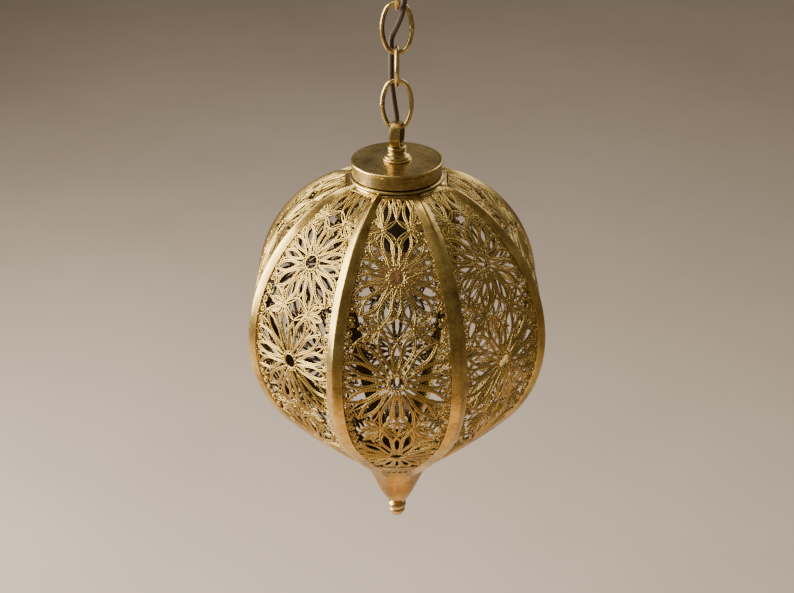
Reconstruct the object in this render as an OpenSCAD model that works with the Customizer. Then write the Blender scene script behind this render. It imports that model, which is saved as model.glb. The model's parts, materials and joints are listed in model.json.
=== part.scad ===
// Hanging melon lantern in pierced brass: eight ribs, eight filigree panels, a capped neck,
// a chain of oval links with the supply cord woven through it, and a ceiling rose.
// Origin: centre of the ceiling screws, in the plane of the ceiling. +Z is up, -Y is the front.

/* [Globe] */
// Radius of the globe at its equator, over the ribs
globe_r = 120; // [95:1:150]
// Distance from the ceiling to the equator
equator_drop = 352; // [345:1:372]
// Radius of the rib's bow above the equator, beyond the globe's own radius
upper_bow_extra = 5.3; // [0:0.1:12]
// Radius of the rib's bow below the equator, short of the globe's own radius
lower_bow_less = 10.1; // [4:0.1:16]
// Height above the equator at which the ribs end under the shoulder, in degrees of the bow
shoulder_turn = 65.3; // [62:0.1:66]
// Turn of the lower bow before the taper starts
belly_turn = 42; // [36:0.5:46]
// Turn of the slow taper down to the tail
taper_turn = 9.85; // [8:0.05:11]
// Radius of the slow taper
taper_r = 493; // [440:1:560]
// Number of ribs, and of panels between them
rib_count = 8; // [8]
// Width of a rib
rib_w = 9.5; // [7:0.1:12]
// Height of a rib's crest over the panel seam
rib_proud = 3.3; // [2.4:0.1:4.2]
// Thickness of the panel's sheet and wire
sheet = 1.2; // [0.8:0.1:2]

/* [Filigree] */
// Elevation of each rosette's centre on its bow
rosette_up = [37.8, 1.7, -42.8];
// Outer reach of each rosette's petals
rosette_r = [28, 37, 27]; // [20:1:40]
// Radius of the hole at a rosette's centre
rosette_eye_r = 5.5; // [4:0.1:7]
// Number of petals cut in a rosette
petals = 12; // [8:1:16]
// Width of the widest petal
petal_w = 6.4; // [4:0.1:8]
// Elevation of each row of small flowers
flower_up = [54.8, 20.5, -21.5];
// Half the distance between the two flowers of a row
flower_reach = [9.5, 13, 12.5]; // [8:0.1:16]
// Radius of a small flower's hole
flower_r = 4; // [2.5:0.1:5]

/* [Cap and neck] */
// Radius of the cap's skirt
cap_r = 34; // [31:0.5:40]
// Height of the cap's top over the equator
cap_top = 130.1; // [128:0.1:133]
// Height of the skirt
skirt_h = 11.2; // [9:0.1:11.8]
// Wall of the cap
cap_wall = 1.5; // [1:0.1:2]
// Radius of the neck's foot
neck_r = 10.7; // [9:0.1:12]
// Height of the neck
neck_h = 7.7; // [7:0.1:9]
// Radius of the neck's waist
waist_r = 5.9; // [5.6:0.1:7]

/* [Loops] */
// Radius of the hole in a hanging loop
loop_hole_r = 7.9; // [7.5:0.05:9]
// Thickness of a loop's strap
loop_t = 2.3; // [2:0.05:4]
// Width of a loop's strap
loop_w = 7.7; // [6:0.1:9]
// Turn of the lantern's loop about its stem
loop_yaw = -12.5; // [-30:0.5:30]
// Radius of the crown inside the strap
loop_crown_r = 6.2; // [5:0.1:6.6]

/* [Chain] */
// Diameter of the chain wire
wire_d = 3.3; // [2.6:0.1:3.6]
// Width of a link over the wire
link_w = 24.5; // [22:0.5:28]
// Height of the first, third and fifth link over the wire
tall_link_h = 39.4; // [35:0.1:42]
// Height of the second and fourth link over the wire
short_link_h = 31.0; // [30:0.1:38]
// Play between two wires that hang in each other
link_gap = 0.15; // [0.1:0.05:0.3]
// Play between a loop and its link
loop_gap = 0.65; // [0.4:0.05:0.8]

/* [Ceiling rose] */
// Radius of the rose
rose_r = 60; // [50:1:70]
// Depth of the rose
rose_h = 30; // [26:1:31]
// Wall of the rose
rose_wall = 1.5; // [1:0.1:2]
// Distance between the two ceiling screws
screw_spacing = 80; // [70:1:90]
// Radius of the holes for the ceiling screws
screw_hole_r = 2.6; // [2.2:0.1:3]

/* [Electrics] */
// Diameter of the supply cord
cord_d = 4; // [3.4:0.1:4.2]
// Radius of the bulb
bulb_r = 22.5; // [20:0.5:26]
// Radius of the lampholder's shell
holder_r = 19; // [17.5:0.1:21]

/* [Tail] */
// Height of the tail cone
tail_h = 34; // [30:1:40]
// Wall of the tail cone
tail_wall = 1.4; // [1:0.1:2]
// Radius of the knob
knob_r = 7.8; // [6.5:0.1:10]

/* [Hidden] */

brass = [0.69, 0.57, 0.33];
steel = [0.62, 0.62, 0.62];
cord_brown = [0.24, 0.15, 0.08];
bakelite = [0.10, 0.08, 0.07];
ceramic = [0.90, 0.88, 0.82];
glass = [0.95, 0.93, 0.86, 0.5];

eps = 0.01;
// Play between two fixed pieces that only touch
seat = 0.05;
// How far a joint bead stands over the wire or rib that it joins
joint_grow = 0.04;
weld_grow = 0.5;
sector = 360 / rib_count;
half_sector = sector / 2;
eq_z = -equator_drop;

// The bows of the ribs, in the plane (radius, height over the equator)
upper_r = globe_r + upper_bow_extra;
upper_c = globe_r - upper_r;
lower_r = globe_r - lower_bow_less;
lower_c = globe_r - lower_r;
taper_c = [lower_c + (lower_r - taper_r) * cos(belly_turn), -(lower_r - taper_r) * sin(belly_turn)];
tail_turn = belly_turn + taper_turn;
// A point of the bow that lies a depth inside the crest; turn is positive above the equator
function bow_point(turn, depth) = turn >= 0
    ? [upper_c + (upper_r - depth) * cos(turn), (upper_r - depth) * sin(turn)]
    : -turn <= belly_turn
        ? [lower_c + (lower_r - depth) * cos(turn), (lower_r - depth) * sin(turn)]
        : [taper_c.x + (taper_r - depth) * cos(turn), taper_c.y + (taper_r - depth) * sin(turn)];
shoulder = bow_point(shoulder_turn, 0);
tail_top = bow_point(-tail_turn, 0);
// Ends of the panels, a little past the ends of the ribs
panel_top_turn = shoulder_turn + 1;
panel_end_turn = tail_turn + 0.45;
panel_turns = concat([for (k = [0:7]) panel_top_turn * (1 - k / 8)],
                     [for (k = [0:6]) -belly_turn * k / 6],
                     [for (k = [1:4]) -belly_turn - (panel_end_turn - belly_turn) * k / 4]);

// Shoulder collar, spigot and bead ring
collar_r = shoulder.x - 1;
collar_low = shoulder.y - 1.6;
collar_edge = shoulder.y - 0.1;
collar_high = collar_edge + 1.4;
spigot_r = cap_r - cap_wall - 1.5;
spigot_wall = 1.5;
spigot_h = 10.5;
bead_h = 3.2;
bead_r = cap_r + 0.8;
skirt_low = cap_top - skirt_h;

// Pieces on the stem, downwards from the cap
stem_r = 5;
stem_bore_r = 3.2;
stem_play = 0.1;
washer_t = 1;
washer_r = 10;
nut_r = 8.1;
nut_t = 3;
cap_under = cap_top - cap_wall;
nut_low = cap_under - washer_t - nut_t;
stem_in_neck = 3.8;
holder_top = nut_low - 12.6;
holder_cap_h = 16;
holder_shell_h = 34;
holder_wall = 1.8;
holder_low = holder_top - holder_cap_h - holder_shell_h;
ring_t = 5;
bulb_base_r = 13.2;
bulb_base_h = 25;
bulb_base_top = holder_low + 31;
bulb_neck_z = bulb_base_top - bulb_base_h;
bulb_h = 52;

// Loops: heights over the equator
loop_out_r = loop_hole_r + loop_t;
boss_r = 7;
boss_h = 3;
neck_top = cap_top + neck_h;
loop_z = neck_top + 1 + loop_out_r;
hook_z = loop_z + loop_hole_r - loop_gap - wire_d / 2;

// Chain: the centre of each link, upwards from the lantern
pitch_tall = tall_link_h - wire_d;
pitch_short = short_link_h - wire_d;
hang = wire_d + link_gap;
link_z = [
    hook_z + pitch_tall / 2,
    hook_z + pitch_tall - hang + pitch_short / 2,
    hook_z + pitch_tall + pitch_short - 2 * hang + pitch_tall / 2,
    hook_z + 2 * pitch_tall + pitch_short - 3 * hang + pitch_short / 2,
    hook_z + 2 * pitch_tall + 2 * pitch_short - 4 * hang + pitch_tall / 2];
chain_top = link_z[4] + pitch_tall / 2;
rose_loop_z = chain_top - wire_d / 2 - loop_gap + loop_hole_r;
rose_boss_top = rose_loop_z + loop_out_r + 1;
rose_low = -rose_h;
rose_boss_h = rose_low - (rose_boss_top + eq_z) - seat;
rose_stem_r = 5;
bar_t = 4;
bar_w = 16;
bar_l = screw_spacing + 20;

// Cord bushings: where the cord goes through the rose and through the cap
bushing_play = 0.15;
bushing_hole_r = cord_d / 2 + 1.6;
bushing_flange_r = bushing_hole_r + 1.4;
rose_gland = [8, -17];
cap_gland = [0, 17];
block_at = [28, 0];
block_size = [18, 12, 9];

// Route of the supply cord, from the terminal block to the lampholder
cord_path = [
    [28, -6, -9], [26, -10, -10], [20, -14, -13], [13, -16, -18], [9, -17, -23],
    [8, -17, -27], [8, -17, -33], [8, -17, -42], [8, -15, -52], [8, -12, -62],
    [7, -9, -73], [6, -7, -84], [6, -6, -94], [5, -5, -101], [4.5, -4.4, -106],
    [3.6, -2.6, -111], [2, -1, -116], [0, 0, -121], [-2, 2, -126], [-3.5, 3.4, -130],
    [-4.2, 4.2, -134], [-4.2, 4.8, -140], [-4.2, 4.2, -147], [-4.2, 4.2, -154], [-4.2, 4.8, -161],
    [-3.6, 5.6, -168], [-2.6, 7, -176], [-1.6, 9.6, -184], [-0.6, 13, -192], [0, 16, -201],
    [0, 17, -210], [0, 17, -220], [0, 16.6, -229], [0, 14.5, -235], [0, 12, -240]];
cord_sides = 10;

// ---------------------------------------------------------------- helpers

// Lifts a piece drawn over the equator to its height under the ceiling
module at_globe() {
    translate([0, 0, eq_z]) children();
}

// Turns a piece drawn at the front (-Y) to sector i, counted from the front
module at_sector(i, half = 0) {
    rotate([0, 0, (i + half) * sector]) children();
}

module tube(r_out, r_in, h) {
    difference() {
        cylinder(r = r_out, h = h, $fn = 96);
        translate([0, 0, -1]) cylinder(r = r_in, h = h + 2, $fn = 96);
    }
}

// A ring of round section
module torus(r, section_r) {
    rotate_extrude($fn = 96) translate([r, 0]) circle(r = section_r, $fn = 32);
}

// A stretch of an arc of a given 2D section, in the XZ plane, from one elevation to another
module arc_in_xz(r, from, to) {
    rotate([90, 0, 0]) rotate([0, 0, from]) rotate_extrude(angle = to - from, $fn = 180)
        translate([r, 0]) children();
}

// ---------------------------------------------------------------- chain

// An oval link in the XZ plane: two end bows, two side bows and the weld on one side
module link(h, end_r) {
    a = (h - wire_d) / 2;
    b = (link_w - wire_d) / 2;
    lift = a - end_r;
    side_r = (b * b + lift * lift - end_r * end_r) / (2 * (b - end_r));
    turn = atan2(lift, side_r - b);
    for (up = [0, 180]) {
        rotate([0, up, 0]) {
            translate([0, 0, lift]) arc_in_xz(end_r, turn, 180 - turn) circle(d = wire_d, $fn = 32);
            translate([b - side_r, 0, 0]) arc_in_xz(side_r, -turn, turn) circle(d = wire_d, $fn = 32);
            // beads where the bows meet
            for (side = [-1, 1])
                translate([side * end_r * cos(turn), 0, lift + end_r * sin(turn)])
                    sphere(d = wire_d + joint_grow, $fn = 48);
        }
    }
    translate([b, 0, 0]) sphere(d = wire_d + weld_grow, $fn = 48);
}

// Links 1, 3 and 5 face the front, 2 and 4 stand edge on
module chain_link(i) {
    color(brass) at_globe() translate([0, 0, link_z[i - 1]])
        if (i % 2 == 1) rotate([0, 0, i == 1 ? 180 : 0]) link(tall_link_h, 8.6);
        else rotate([0, 0, 90]) link(short_link_h, 9);
}

// A strap bent into a ring, its hole along X, crowned inside where the link lies
module strap_ring() {
    rotate([0, 90, 0]) rotate_extrude($fn = 120) intersection() {
        translate([loop_hole_r, -loop_w / 2]) square([loop_t, loop_w]);
        translate([loop_hole_r + loop_crown_r, 0]) circle(r = loop_crown_r, $fn = 64);
    }
}

module hanger_loop() {
    color(brass) at_globe() rotate([0, 0, loop_yaw]) {
        translate([0, 0, loop_z]) strap_ring();
        difference() {
            translate([0, 0, neck_top + seat]) cylinder(r = boss_r, h = boss_h, $fn = 64);
            translate([0, 0, loop_z]) rotate([0, 90, 0])
                cylinder(r = loop_hole_r + 0.5, h = 4 * boss_r, center = true, $fn = 96);
        }
        translate([0, 0, neck_top - 3]) cylinder(r = 3, h = 3.5, $fn = 48);
    }
}

module rose_loop() {
    color(brass) at_globe() {
        translate([0, 0, rose_loop_z]) strap_ring();
        difference() {
            translate([0, 0, rose_boss_top - boss_h])
                cylinder(r = boss_r, h = boss_h + rose_boss_h, $fn = 64);
            translate([0, 0, rose_loop_z]) rotate([0, 90, 0])
                cylinder(r = loop_hole_r + 0.5, h = 4 * boss_r, center = true, $fn = 96);
            translate([0, 0, rose_boss_top + 0.5])
                cylinder(r = rose_stem_r + stem_play, h = rose_boss_h + boss_h, $fn = 48);
        }
    }
}

// ---------------------------------------------------------------- ceiling rose

module crossbar() {
    color(steel) difference() {
        translate([-bar_l / 2, -bar_w / 2, -bar_t]) cube([bar_l, bar_w, bar_t]);
        for (side = [-1, 1])
            translate([side * screw_spacing / 2, 0, -bar_t - 1])
                cylinder(r = screw_hole_r, h = bar_t + 2, $fn = 48);
        translate([0, 0, -bar_t - 1]) cylinder(r = rose_stem_r + stem_play, h = bar_t + 2, $fn = 48);
    }
}

// Threaded stem that clamps the rose between the loop and the bar
module rose_nipple() {
    low = rose_boss_top + eq_z + 1;
    color(steel) translate([0, 0, low]) tube(rose_stem_r, stem_bore_r, -1 - low);
}

module crossbar_nut() {
    color(steel) difference() {
        translate([0, 0, -bar_t - nut_t - seat]) cylinder(r = nut_r, h = nut_t, $fn = 6);
        translate([0, 0, -bar_t - nut_t - 1]) cylinder(r = rose_stem_r + stem_play, h = nut_t + 2, $fn = 48);
    }
}

module rose() {
    flat_r = -rose_gland.y + bushing_flange_r + 3;
    foot_h = 3;
    flare_r = rose_h - foot_h;
    color(brass) difference() {
        rotate_extrude($fn = 128) difference() {
            union() {
                translate([0, -rose_h]) square([flat_r, rose_h]);
                polygon([[flat_r - eps, -rose_h], [flat_r + 5, -rose_h + 2], [rose_r - 12, -rose_h + 11],
                         [rose_r - 4, -foot_h - 7], [rose_r - 2, -foot_h], [flat_r - eps, -foot_h]]);
                translate([0, -foot_h]) square([rose_r, foot_h]);
            }
            polygon([[-1, 1], [rose_r - rose_wall, 1], [rose_r - rose_wall - 2, -foot_h - rose_wall],
                     [rose_r - 4 - rose_wall, -foot_h - 7],
                     [rose_r - 12 - rose_wall / 2, -rose_h + 11 + rose_wall],
                     [flat_r + 4, -rose_h + 2 + rose_wall], [flat_r - 1, -rose_h + rose_wall],
                     [-1, -rose_h + rose_wall]]);
        }
        translate([0, 0, -rose_h - 1]) cylinder(r = rose_stem_r + stem_play, h = rose_wall + 2, $fn = 48);
        translate([rose_gland.x, rose_gland.y, -rose_h - 1])
            cylinder(r = bushing_hole_r + bushing_play, h = rose_wall + 2, $fn = 48);
    }
}

// A grommet seen from its outer face: a flange outside and a short spigot through the wall
module bushing(wall) {
    difference() {
        union() {
            translate([0, 0, seat]) cylinder(r = bushing_flange_r, h = 1.4, $fn = 48);
            translate([0, 0, -wall - 1]) cylinder(r = bushing_hole_r, h = wall + 1.5, $fn = 48);
        }
        translate([0, 0, -wall - 2]) cylinder(r = cord_d / 2 + bushing_play, h = wall + 5, $fn = 48);
    }
}

module rose_bushing() {
    color(bakelite) translate([rose_gland.x, rose_gland.y, -rose_h]) mirror([0, 0, 1]) bushing(rose_wall);
}

module terminal_block() {
    color(ceramic) difference() {
        translate([block_at.x - block_size.x / 2, -block_size.y / 2, -bar_t - seat - block_size.z])
            cube(block_size);
        for (side = [-1, 1])
            translate([block_at.x + side * 5, 0, -bar_t - block_size.z - 1])
                cylinder(r = 1.8, h = 5, $fn = 24);
    }
}

module terminal_screws() {
    color(steel) for (side = [-1, 1])
        translate([block_at.x + side * 5, 0, -bar_t - block_size.z]) cylinder(r = 1.7, h = 3, $fn = 24);
}

// ---------------------------------------------------------------- supply cord

function unit(v) = v / norm(v);
function cord_way(i) = unit(cord_path[min(i + 1, len(cord_path) - 1)] - cord_path[max(i - 1, 0)]);
// The side direction at each ring, carried along the route so that the tube does not twist
function cord_side(i) = i == 0
    ? unit(cross(cord_way(0), [0, 0, 1]))
    : let (s = cord_side(i - 1), w = cord_way(i)) unit(s - (s * w) * w);
function cord_ring(i) = let (s = cord_side(i), w = cross(cord_way(i), s))
    [for (k = [0:cord_sides - 1]) let (turn = 360 * k / cord_sides)
        cord_path[i] + cord_d / 2 * (cos(turn) * s + sin(turn) * w)];

module supply_cord() {
    rings = len(cord_path);
    points = [for (i = [0:rings - 1]) each cord_ring(i)];
    walls = [for (i = [0:rings - 2], k = [0:cord_sides - 1])
        let (a = i * cord_sides + k, b = i * cord_sides + (k + 1) % cord_sides)
        each [[a, b, b + cord_sides], [a, b + cord_sides, a + cord_sides]]];
    first = [for (k = [1:cord_sides - 2]) [0, k + 1, k]];
    last = [for (k = [1:cord_sides - 2]) let (s = (rings - 1) * cord_sides) [s, s + k, s + k + 1]];
    color(cord_brown) polyhedron(points, concat(walls, first, last));
}

// ---------------------------------------------------------------- cap and stem

// Turned neck: foot, step, bell, waist and top collar, bored for the stem and the loop's pin
module neck() {
    color(brass) at_globe() translate([0, 0, cap_top + seat]) difference() {
        union() {
            cylinder(r = neck_r, h = 1.6, $fn = 96);
            translate([0, 0, 1.6]) cylinder(r1 = neck_r - 1.4, r2 = neck_r - 2.6, h = 1.2, $fn = 96);
            translate([0, 0, 2.8]) cylinder(r1 = neck_r - 2.6, r2 = waist_r, h = neck_h - 4.8, $fn = 96);
            translate([0, 0, neck_h - 2]) cylinder(r1 = waist_r, r2 = boss_r - 0.2, h = 1, $fn = 96);
            translate([0, 0, neck_h - 1]) cylinder(r = boss_r - 0.2, h = 1 - seat, $fn = 96);
        }
        translate([0, 0, -1]) cylinder(r = stem_r + stem_play, h = stem_in_neck + 1, $fn = 48);
        translate([0, 0, neck_h - 3.2]) cylinder(r = 3.1, h = 4, $fn = 48);
    }
}

module stem_nipple() {
    low = holder_top - 4;
    color(steel) at_globe() translate([0, 0, low]) tube(stem_r, stem_bore_r, cap_top + stem_in_neck - low);
}

// Flat round cap with a rolled top edge and a plain skirt
module cap() {
    rim = 1.6;
    color(brass) at_globe() difference() {
        rotate_extrude($fn = 144) difference() {
            union() {
                translate([0, cap_under]) square([cap_r - rim, cap_wall]);
                translate([cap_r - rim, cap_top - rim]) circle(r = rim, $fn = 32);
                translate([cap_r - cap_wall, skirt_low]) square([cap_wall - 0.3, skirt_h - rim]);
            }
            translate([-1, skirt_low - 1]) square([cap_r - cap_wall + 1, cap_under - skirt_low + 1]);
        }
        translate([0, 0, cap_under - 1]) cylinder(r = stem_r + stem_play, h = 4, $fn = 48);
        translate([cap_gland.x, cap_gland.y, cap_under - 1])
            cylinder(r = bushing_hole_r + bushing_play, h = 4, $fn = 48);
    }
}

module cap_bushing() {
    color(bakelite) at_globe() translate([cap_gland.x, cap_gland.y, cap_top]) bushing(cap_wall);
}

module stem_washer() {
    color(steel) at_globe() translate([0, 0, cap_under - washer_t - seat])
        tube(washer_r, stem_r + stem_play, washer_t);
}

module stem_nut() {
    color(steel) at_globe() difference() {
        translate([0, 0, nut_low - 2 * seat]) cylinder(r = nut_r, h = nut_t, $fn = 6);
        translate([0, 0, nut_low - 1]) cylinder(r = stem_r + stem_play, h = nut_t + 2, $fn = 48);
    }
}

// Three leaf springs inside the skirt that grip the globe's spigot
module spring_clips() {
    clip_w = 8;
    leaf = 0.8;
    gap_out = 0.2;
    r_out = cap_r - cap_wall - gap_out;
    color(steel) at_globe() for (i = [0:2]) rotate([0, 0, 60 + i * 120]) intersection() {
        union() {
            translate([0, 0, skirt_low + 0.4]) tube(r_out, r_out - leaf, skirt_h - cap_wall - 0.8);
            translate([0, 0, cap_under - leaf - seat]) tube(r_out, r_out - 5, leaf);
        }
        translate([r_out - 6, -clip_w / 2, skirt_low]) cube([12, clip_w, skirt_h]);
    }
}

// ---------------------------------------------------------------- lampholder and bulb

module lampholder_cap() {
    color(bakelite) at_globe() difference() {
        union() {
            translate([0, 0, holder_top - 4]) cylinder(r = holder_r - 3, h = 4, $fn = 96);
            translate([0, 0, holder_top - holder_cap_h + seat])
                cylinder(r = holder_r, h = holder_cap_h - 4 - seat, $fn = 96);
        }
        translate([0, 0, holder_top - holder_cap_h - 1])
            cylinder(r = holder_r - holder_wall, h = holder_cap_h - 4, $fn = 96);
        translate([0, 0, holder_top - 6]) cylinder(r = stem_r + stem_play, h = 8, $fn = 48);
        translate([0, 12, holder_top - 6]) cylinder(r = cord_d / 2 + 0.4, h = 8, $fn = 32);
    }
}

module lampholder_shell() {
    color(bakelite) at_globe() translate([0, 0, holder_low])
        tube(holder_r - 0.4, holder_r - holder_wall - 0.4, holder_shell_h - seat);
}

// Ceramic core with the contact recess that takes the bulb's base
module lampholder_core() {
    color(ceramic) at_globe() difference() {
        translate([0, 0, bulb_base_top + 1]) cylinder(r = holder_r - holder_wall - 0.6, h = 6, $fn = 96);
        translate([0, 0, bulb_base_top]) cylinder(r = 4, h = 4, $fn = 32);
    }
}

module lampholder_ring() {
    color(bakelite) at_globe() translate([0, 0, holder_low + 4])
        tube(holder_r + 3, holder_r - 0.3, ring_t);
}

module bulb_base() {
    color(steel) at_globe() {
        translate([0, 0, bulb_neck_z]) cylinder(r = bulb_base_r, h = bulb_base_h - 4, $fn = 64);
        translate([0, 0, bulb_base_top - 4]) cylinder(r1 = bulb_base_r, r2 = 5, h = 3, $fn = 64);
        translate([0, 0, bulb_base_top - 1]) cylinder(r = 4.4, h = 1.5, $fn = 32);
    }
}

// Thin glass envelope: a globe on a short throat
module bulb_glass() {
    glass_t = 0.9;
    centre = bulb_neck_z - bulb_h + bulb_r;
    throat_r = bulb_base_r - 0.4;
    color(glass) at_globe() difference() {
        union() {
            translate([0, 0, centre]) sphere(r = bulb_r, $fn = 96);
            translate([0, 0, centre]) cylinder(r = throat_r, h = bulb_neck_z - centre - seat, $fn = 64);
        }
        translate([0, 0, centre]) sphere(r = bulb_r - glass_t, $fn = 96);
        translate([0, 0, centre]) cylinder(r = throat_r - glass_t, h = bulb_neck_z - centre + 1, $fn = 64);
    }
}

// ---------------------------------------------------------------- globe

// Shoulder plate with the upright spigot that slips up inside the cap
module top_collar() {
    color(brass) at_globe() rotate_extrude($fn = 144) {
        polygon([[spigot_r - spigot_wall, collar_low], [collar_r - 0.6, collar_low],
                 [collar_r, collar_low + 0.5],
                 [collar_r, collar_edge], [spigot_r, collar_high], [spigot_r, collar_high + spigot_h],
                 [spigot_r - spigot_wall, collar_high + spigot_h]]);
    }
}

module bead_ring() {
    round = bead_h / 2;
    color(brass) at_globe() rotate_extrude($fn = 144) {
        translate([spigot_r + 0.1, collar_high + seat]) square([bead_r - round - spigot_r, bead_h]);
        translate([bead_r - round, collar_high + seat + round]) circle(r = round, $fn = 32);
    }
}

// Section of a rib: a round crest whose foot clears the two panels that meet under it. Square to a
// sloping rib they fall away less, and least at the shoulder.
module rib_section(grow = 0) {
    half_w = rib_w / 2;
    slope = tan(half_sector) * cos(shoulder_turn);
    foot = seat - grow;
    difference() {
        union() {
            translate([rib_proud - half_w, 0]) circle(r = half_w + grow, $fn = 48);
            translate([-half_w * slope - 1, -half_w - grow])
                square([rib_proud + half_w * slope - half_w + 1, rib_w + 2 * grow]);
        }
        polygon([[foot, 0], [foot - rib_w * slope, rib_w], [-20, rib_w], [-20, -rib_w],
                 [foot - rib_w * slope, -rib_w]]);
    }
}

// Thin sleeve of solder over the joint of two bows, at a turn of the bow
module rib_joint(turn) {
    p = bow_point(turn, rib_proud);
    translate([p.x, 0, p.y]) rotate([0, -turn, 0])
        linear_extrude(0.6, center = true) rib_section(joint_grow / 2);
}

module rib(i) {
    color(brass) at_globe() at_sector(i - 1, 0.5) rotate([0, 0, -90]) {
        translate([upper_c, 0, 0]) arc_in_xz(upper_r - rib_proud, 0, shoulder_turn) rib_section();
        translate([lower_c, 0, 0]) arc_in_xz(lower_r - rib_proud, -belly_turn, 0) rib_section();
        translate([taper_c.x, 0, taper_c.y])
            arc_in_xz(taper_r - rib_proud, -tail_turn, -belly_turn) rib_section();
        for (turn = [0, -belly_turn]) rib_joint(turn);
    }
}

// Outline of a petal: two arcs that meet in a point at each end
module petal(length, width) {
    bend = (length * length + width * width) / (4 * width);
    intersection() {
        translate([0, width / 2 - bend]) circle(r = bend, $fn = 96);
        translate([0, bend - width / 2]) circle(r = bend, $fn = 96);
    }
}

// Places a flat cutter on the panel at an elevation, its face square to the surface
module on_panel(turn) {
    base = turn >= 0 ? [upper_c, 0] : -turn <= belly_turn ? [lower_c, 0] : taper_c;
    reach = turn >= 0 ? upper_r : -turn <= belly_turn ? lower_r : taper_r;
    squash = cos(half_sector);
    p = [(base.x + (reach - rib_proud) * cos(turn)) * squash, base.y + (reach - rib_proud) * sin(turn)];
    tilt = atan2(sin(turn) * squash, cos(turn));
    rotate([0, 0, -90]) translate([p.x, 0, p.y]) rotate([0, 90 - tilt, 0])
        translate([0, 0, -7]) linear_extrude(14) rotate([0, 0, 90]) children();
}

module rosette_cuts(k) {
    inner = rosette_eye_r + 3;
    length = rosette_r[k] - inner;
    on_panel(rosette_up[k]) {
        circle(r = rosette_eye_r, $fn = 48);
        for (j = [0:petals - 1])
            rotate([0, 0, j * 360 / petals]) translate([inner + length / 2, 0])
                petal(length, petal_w * rosette_r[k] / max(rosette_r));
    }
}

module flower_cuts(k) {
    for (side = [-1, 1])
        on_panel(flower_up[k]) translate([side * flower_reach[k], 0]) circle(r = flower_r, $fn = 32);
}

// One pierced sheet between two ribs, flat across and curved along the meridian
module filigree_panel(i) {
    squash = cos(half_sector);
    outer = [for (t = panel_turns) let (p = bow_point(t, rib_proud)) [p.x * squash, p.y]];
    inner = [for (k = [len(panel_turns) - 1:-1:0])
        let (p = bow_point(panel_turns[k], rib_proud + sheet / squash)) [p.x * squash, p.y]];
    wide = globe_r;
    color(brass) at_globe() at_sector(i - 1) difference() {
        intersection() {
            rotate([0, 0, -90]) rotate([90, 0, 0]) linear_extrude(2 * wide, center = true)
                polygon(concat(outer, inner));
            // wedge between the two seams
            translate([0, 0, -globe_r * 1.5]) linear_extrude(3 * globe_r)
                polygon([[0, -0.5], [2 * wide * tan(half_sector), -0.5 - 2 * wide],
                         [-2 * wide * tan(half_sector), -0.5 - 2 * wide]]);
        }
        for (k = [0:2]) {
            rosette_cuts(k);
            flower_cuts(k);
        }
    }
}

// ---------------------------------------------------------------- tail

tail_rim_r = tail_top.x - 0.3;
tail_rim_z = tail_top.y - 0.15;
lip_r = 10.3;
tail_floor = tail_rim_z - tail_h;
// Radius of the hollow flank at a share of the way down, from the rim to the lip
function flank(t) = lip_r - 1 + (tail_rim_r - lip_r + 1) * pow(1 - t, 2.3);

module tail_cone() {
    steps = 10;
    rim_h = 1.5;
    drop = tail_h - rim_h - 1;
    color(brass) at_globe() difference() {
        union() {
            translate([0, 0, tail_floor + 1]) torus(lip_r - 0.6, 1.2);
            rotate_extrude($fn = 144) polygon(concat(
                [[tail_rim_r - 4, tail_rim_z], [tail_rim_r, tail_rim_z]],
                [for (k = [0:steps]) [flank(k / steps), tail_rim_z - rim_h - drop * k / steps]],
                [[lip_r, tail_floor + 1], [lip_r, tail_floor], [0, tail_floor], [0, tail_floor + tail_wall]],
                [for (k = [steps:-1:0])
                    [max(flank(k / steps) - tail_wall * 1.6, 6.6),
                     max(tail_rim_z - rim_h - drop * k / steps, tail_floor + tail_wall)]]));
        }
        translate([0, 0, tail_floor - 1]) cylinder(r = 3.1, h = 4, $fn = 48);
    }
}

module tail_stud() {
    color(steel) at_globe() translate([0, 0, tail_floor - 8]) cylinder(r = 3, h = 14, $fn = 48);
}

module tail_nut() {
    color(steel) at_globe() difference() {
        translate([0, 0, tail_floor + tail_wall + seat]) cylinder(r = 5.7, h = 3, $fn = 6);
        translate([0, 0, tail_floor]) cylinder(r = 3.1, h = 8, $fn = 48);
    }
}

// Turned knob: neck, large bead, small bead and tip
module finial() {
    color(brass) at_globe() translate([0, 0, tail_floor - seat]) difference() {
        union() {
            translate([0, 0, -3]) cylinder(r1 = 5, r2 = 6.4, h = 3, $fn = 64);
            translate([0, 0, -5]) cylinder(r = 5, h = 3, $fn = 64);
            translate([0, 0, -9.7]) intersection() {
                sphere(r = knob_r, $fn = 96);
                translate([0, 0, -5.4]) cylinder(r = knob_r + 1, h = 10.8, $fn = 64);
            }
            translate([0, 0, -16.2]) intersection() {
                sphere(r = 6, $fn = 96);
                translate([0, 0, -4]) cylinder(r = 7, h = 8, $fn = 64);
            }
            translate([0, 0, -20.6]) sphere(r = 2.6, $fn = 48);
        }
        translate([0, 0, -9]) cylinder(r = 3.05, h = 10, $fn = 48);
    }
}

// ---------------------------------------------------------------- drawing

crossbar();
rose_nipple();
crossbar_nut();
rose();
rose_bushing();
rose_loop();
terminal_block();
terminal_screws();
supply_cord();
for (i = [1:5]) chain_link(i);
hanger_loop();
neck();
stem_nipple();
cap();
cap_bushing();
stem_washer();
stem_nut();
spring_clips();
lampholder_cap();
lampholder_shell();
lampholder_core();
lampholder_ring();
bulb_base();
bulb_glass();
top_collar();
bead_ring();
for (i = [1:rib_count]) rib(i);
for (i = [1:rib_count]) filigree_panel(i);
tail_cone();
tail_stud();
tail_nut();
finial();
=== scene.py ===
"""Hanging melon lantern in aged brass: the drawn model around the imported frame.

The globe's filigree, ribs, shoulder and tail, the turned pieces, the chain and the woven cord are
made here; the lampholder, the fasteners and the ceiling bar keep their frame shapes and get
finishes. Lengths are in metres, +Z is up and -Y is the front.
"""

import json
import logging
import math
from dataclasses import dataclass, field
from enum import Enum
from typing import Callable, Iterable, Sequence

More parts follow.
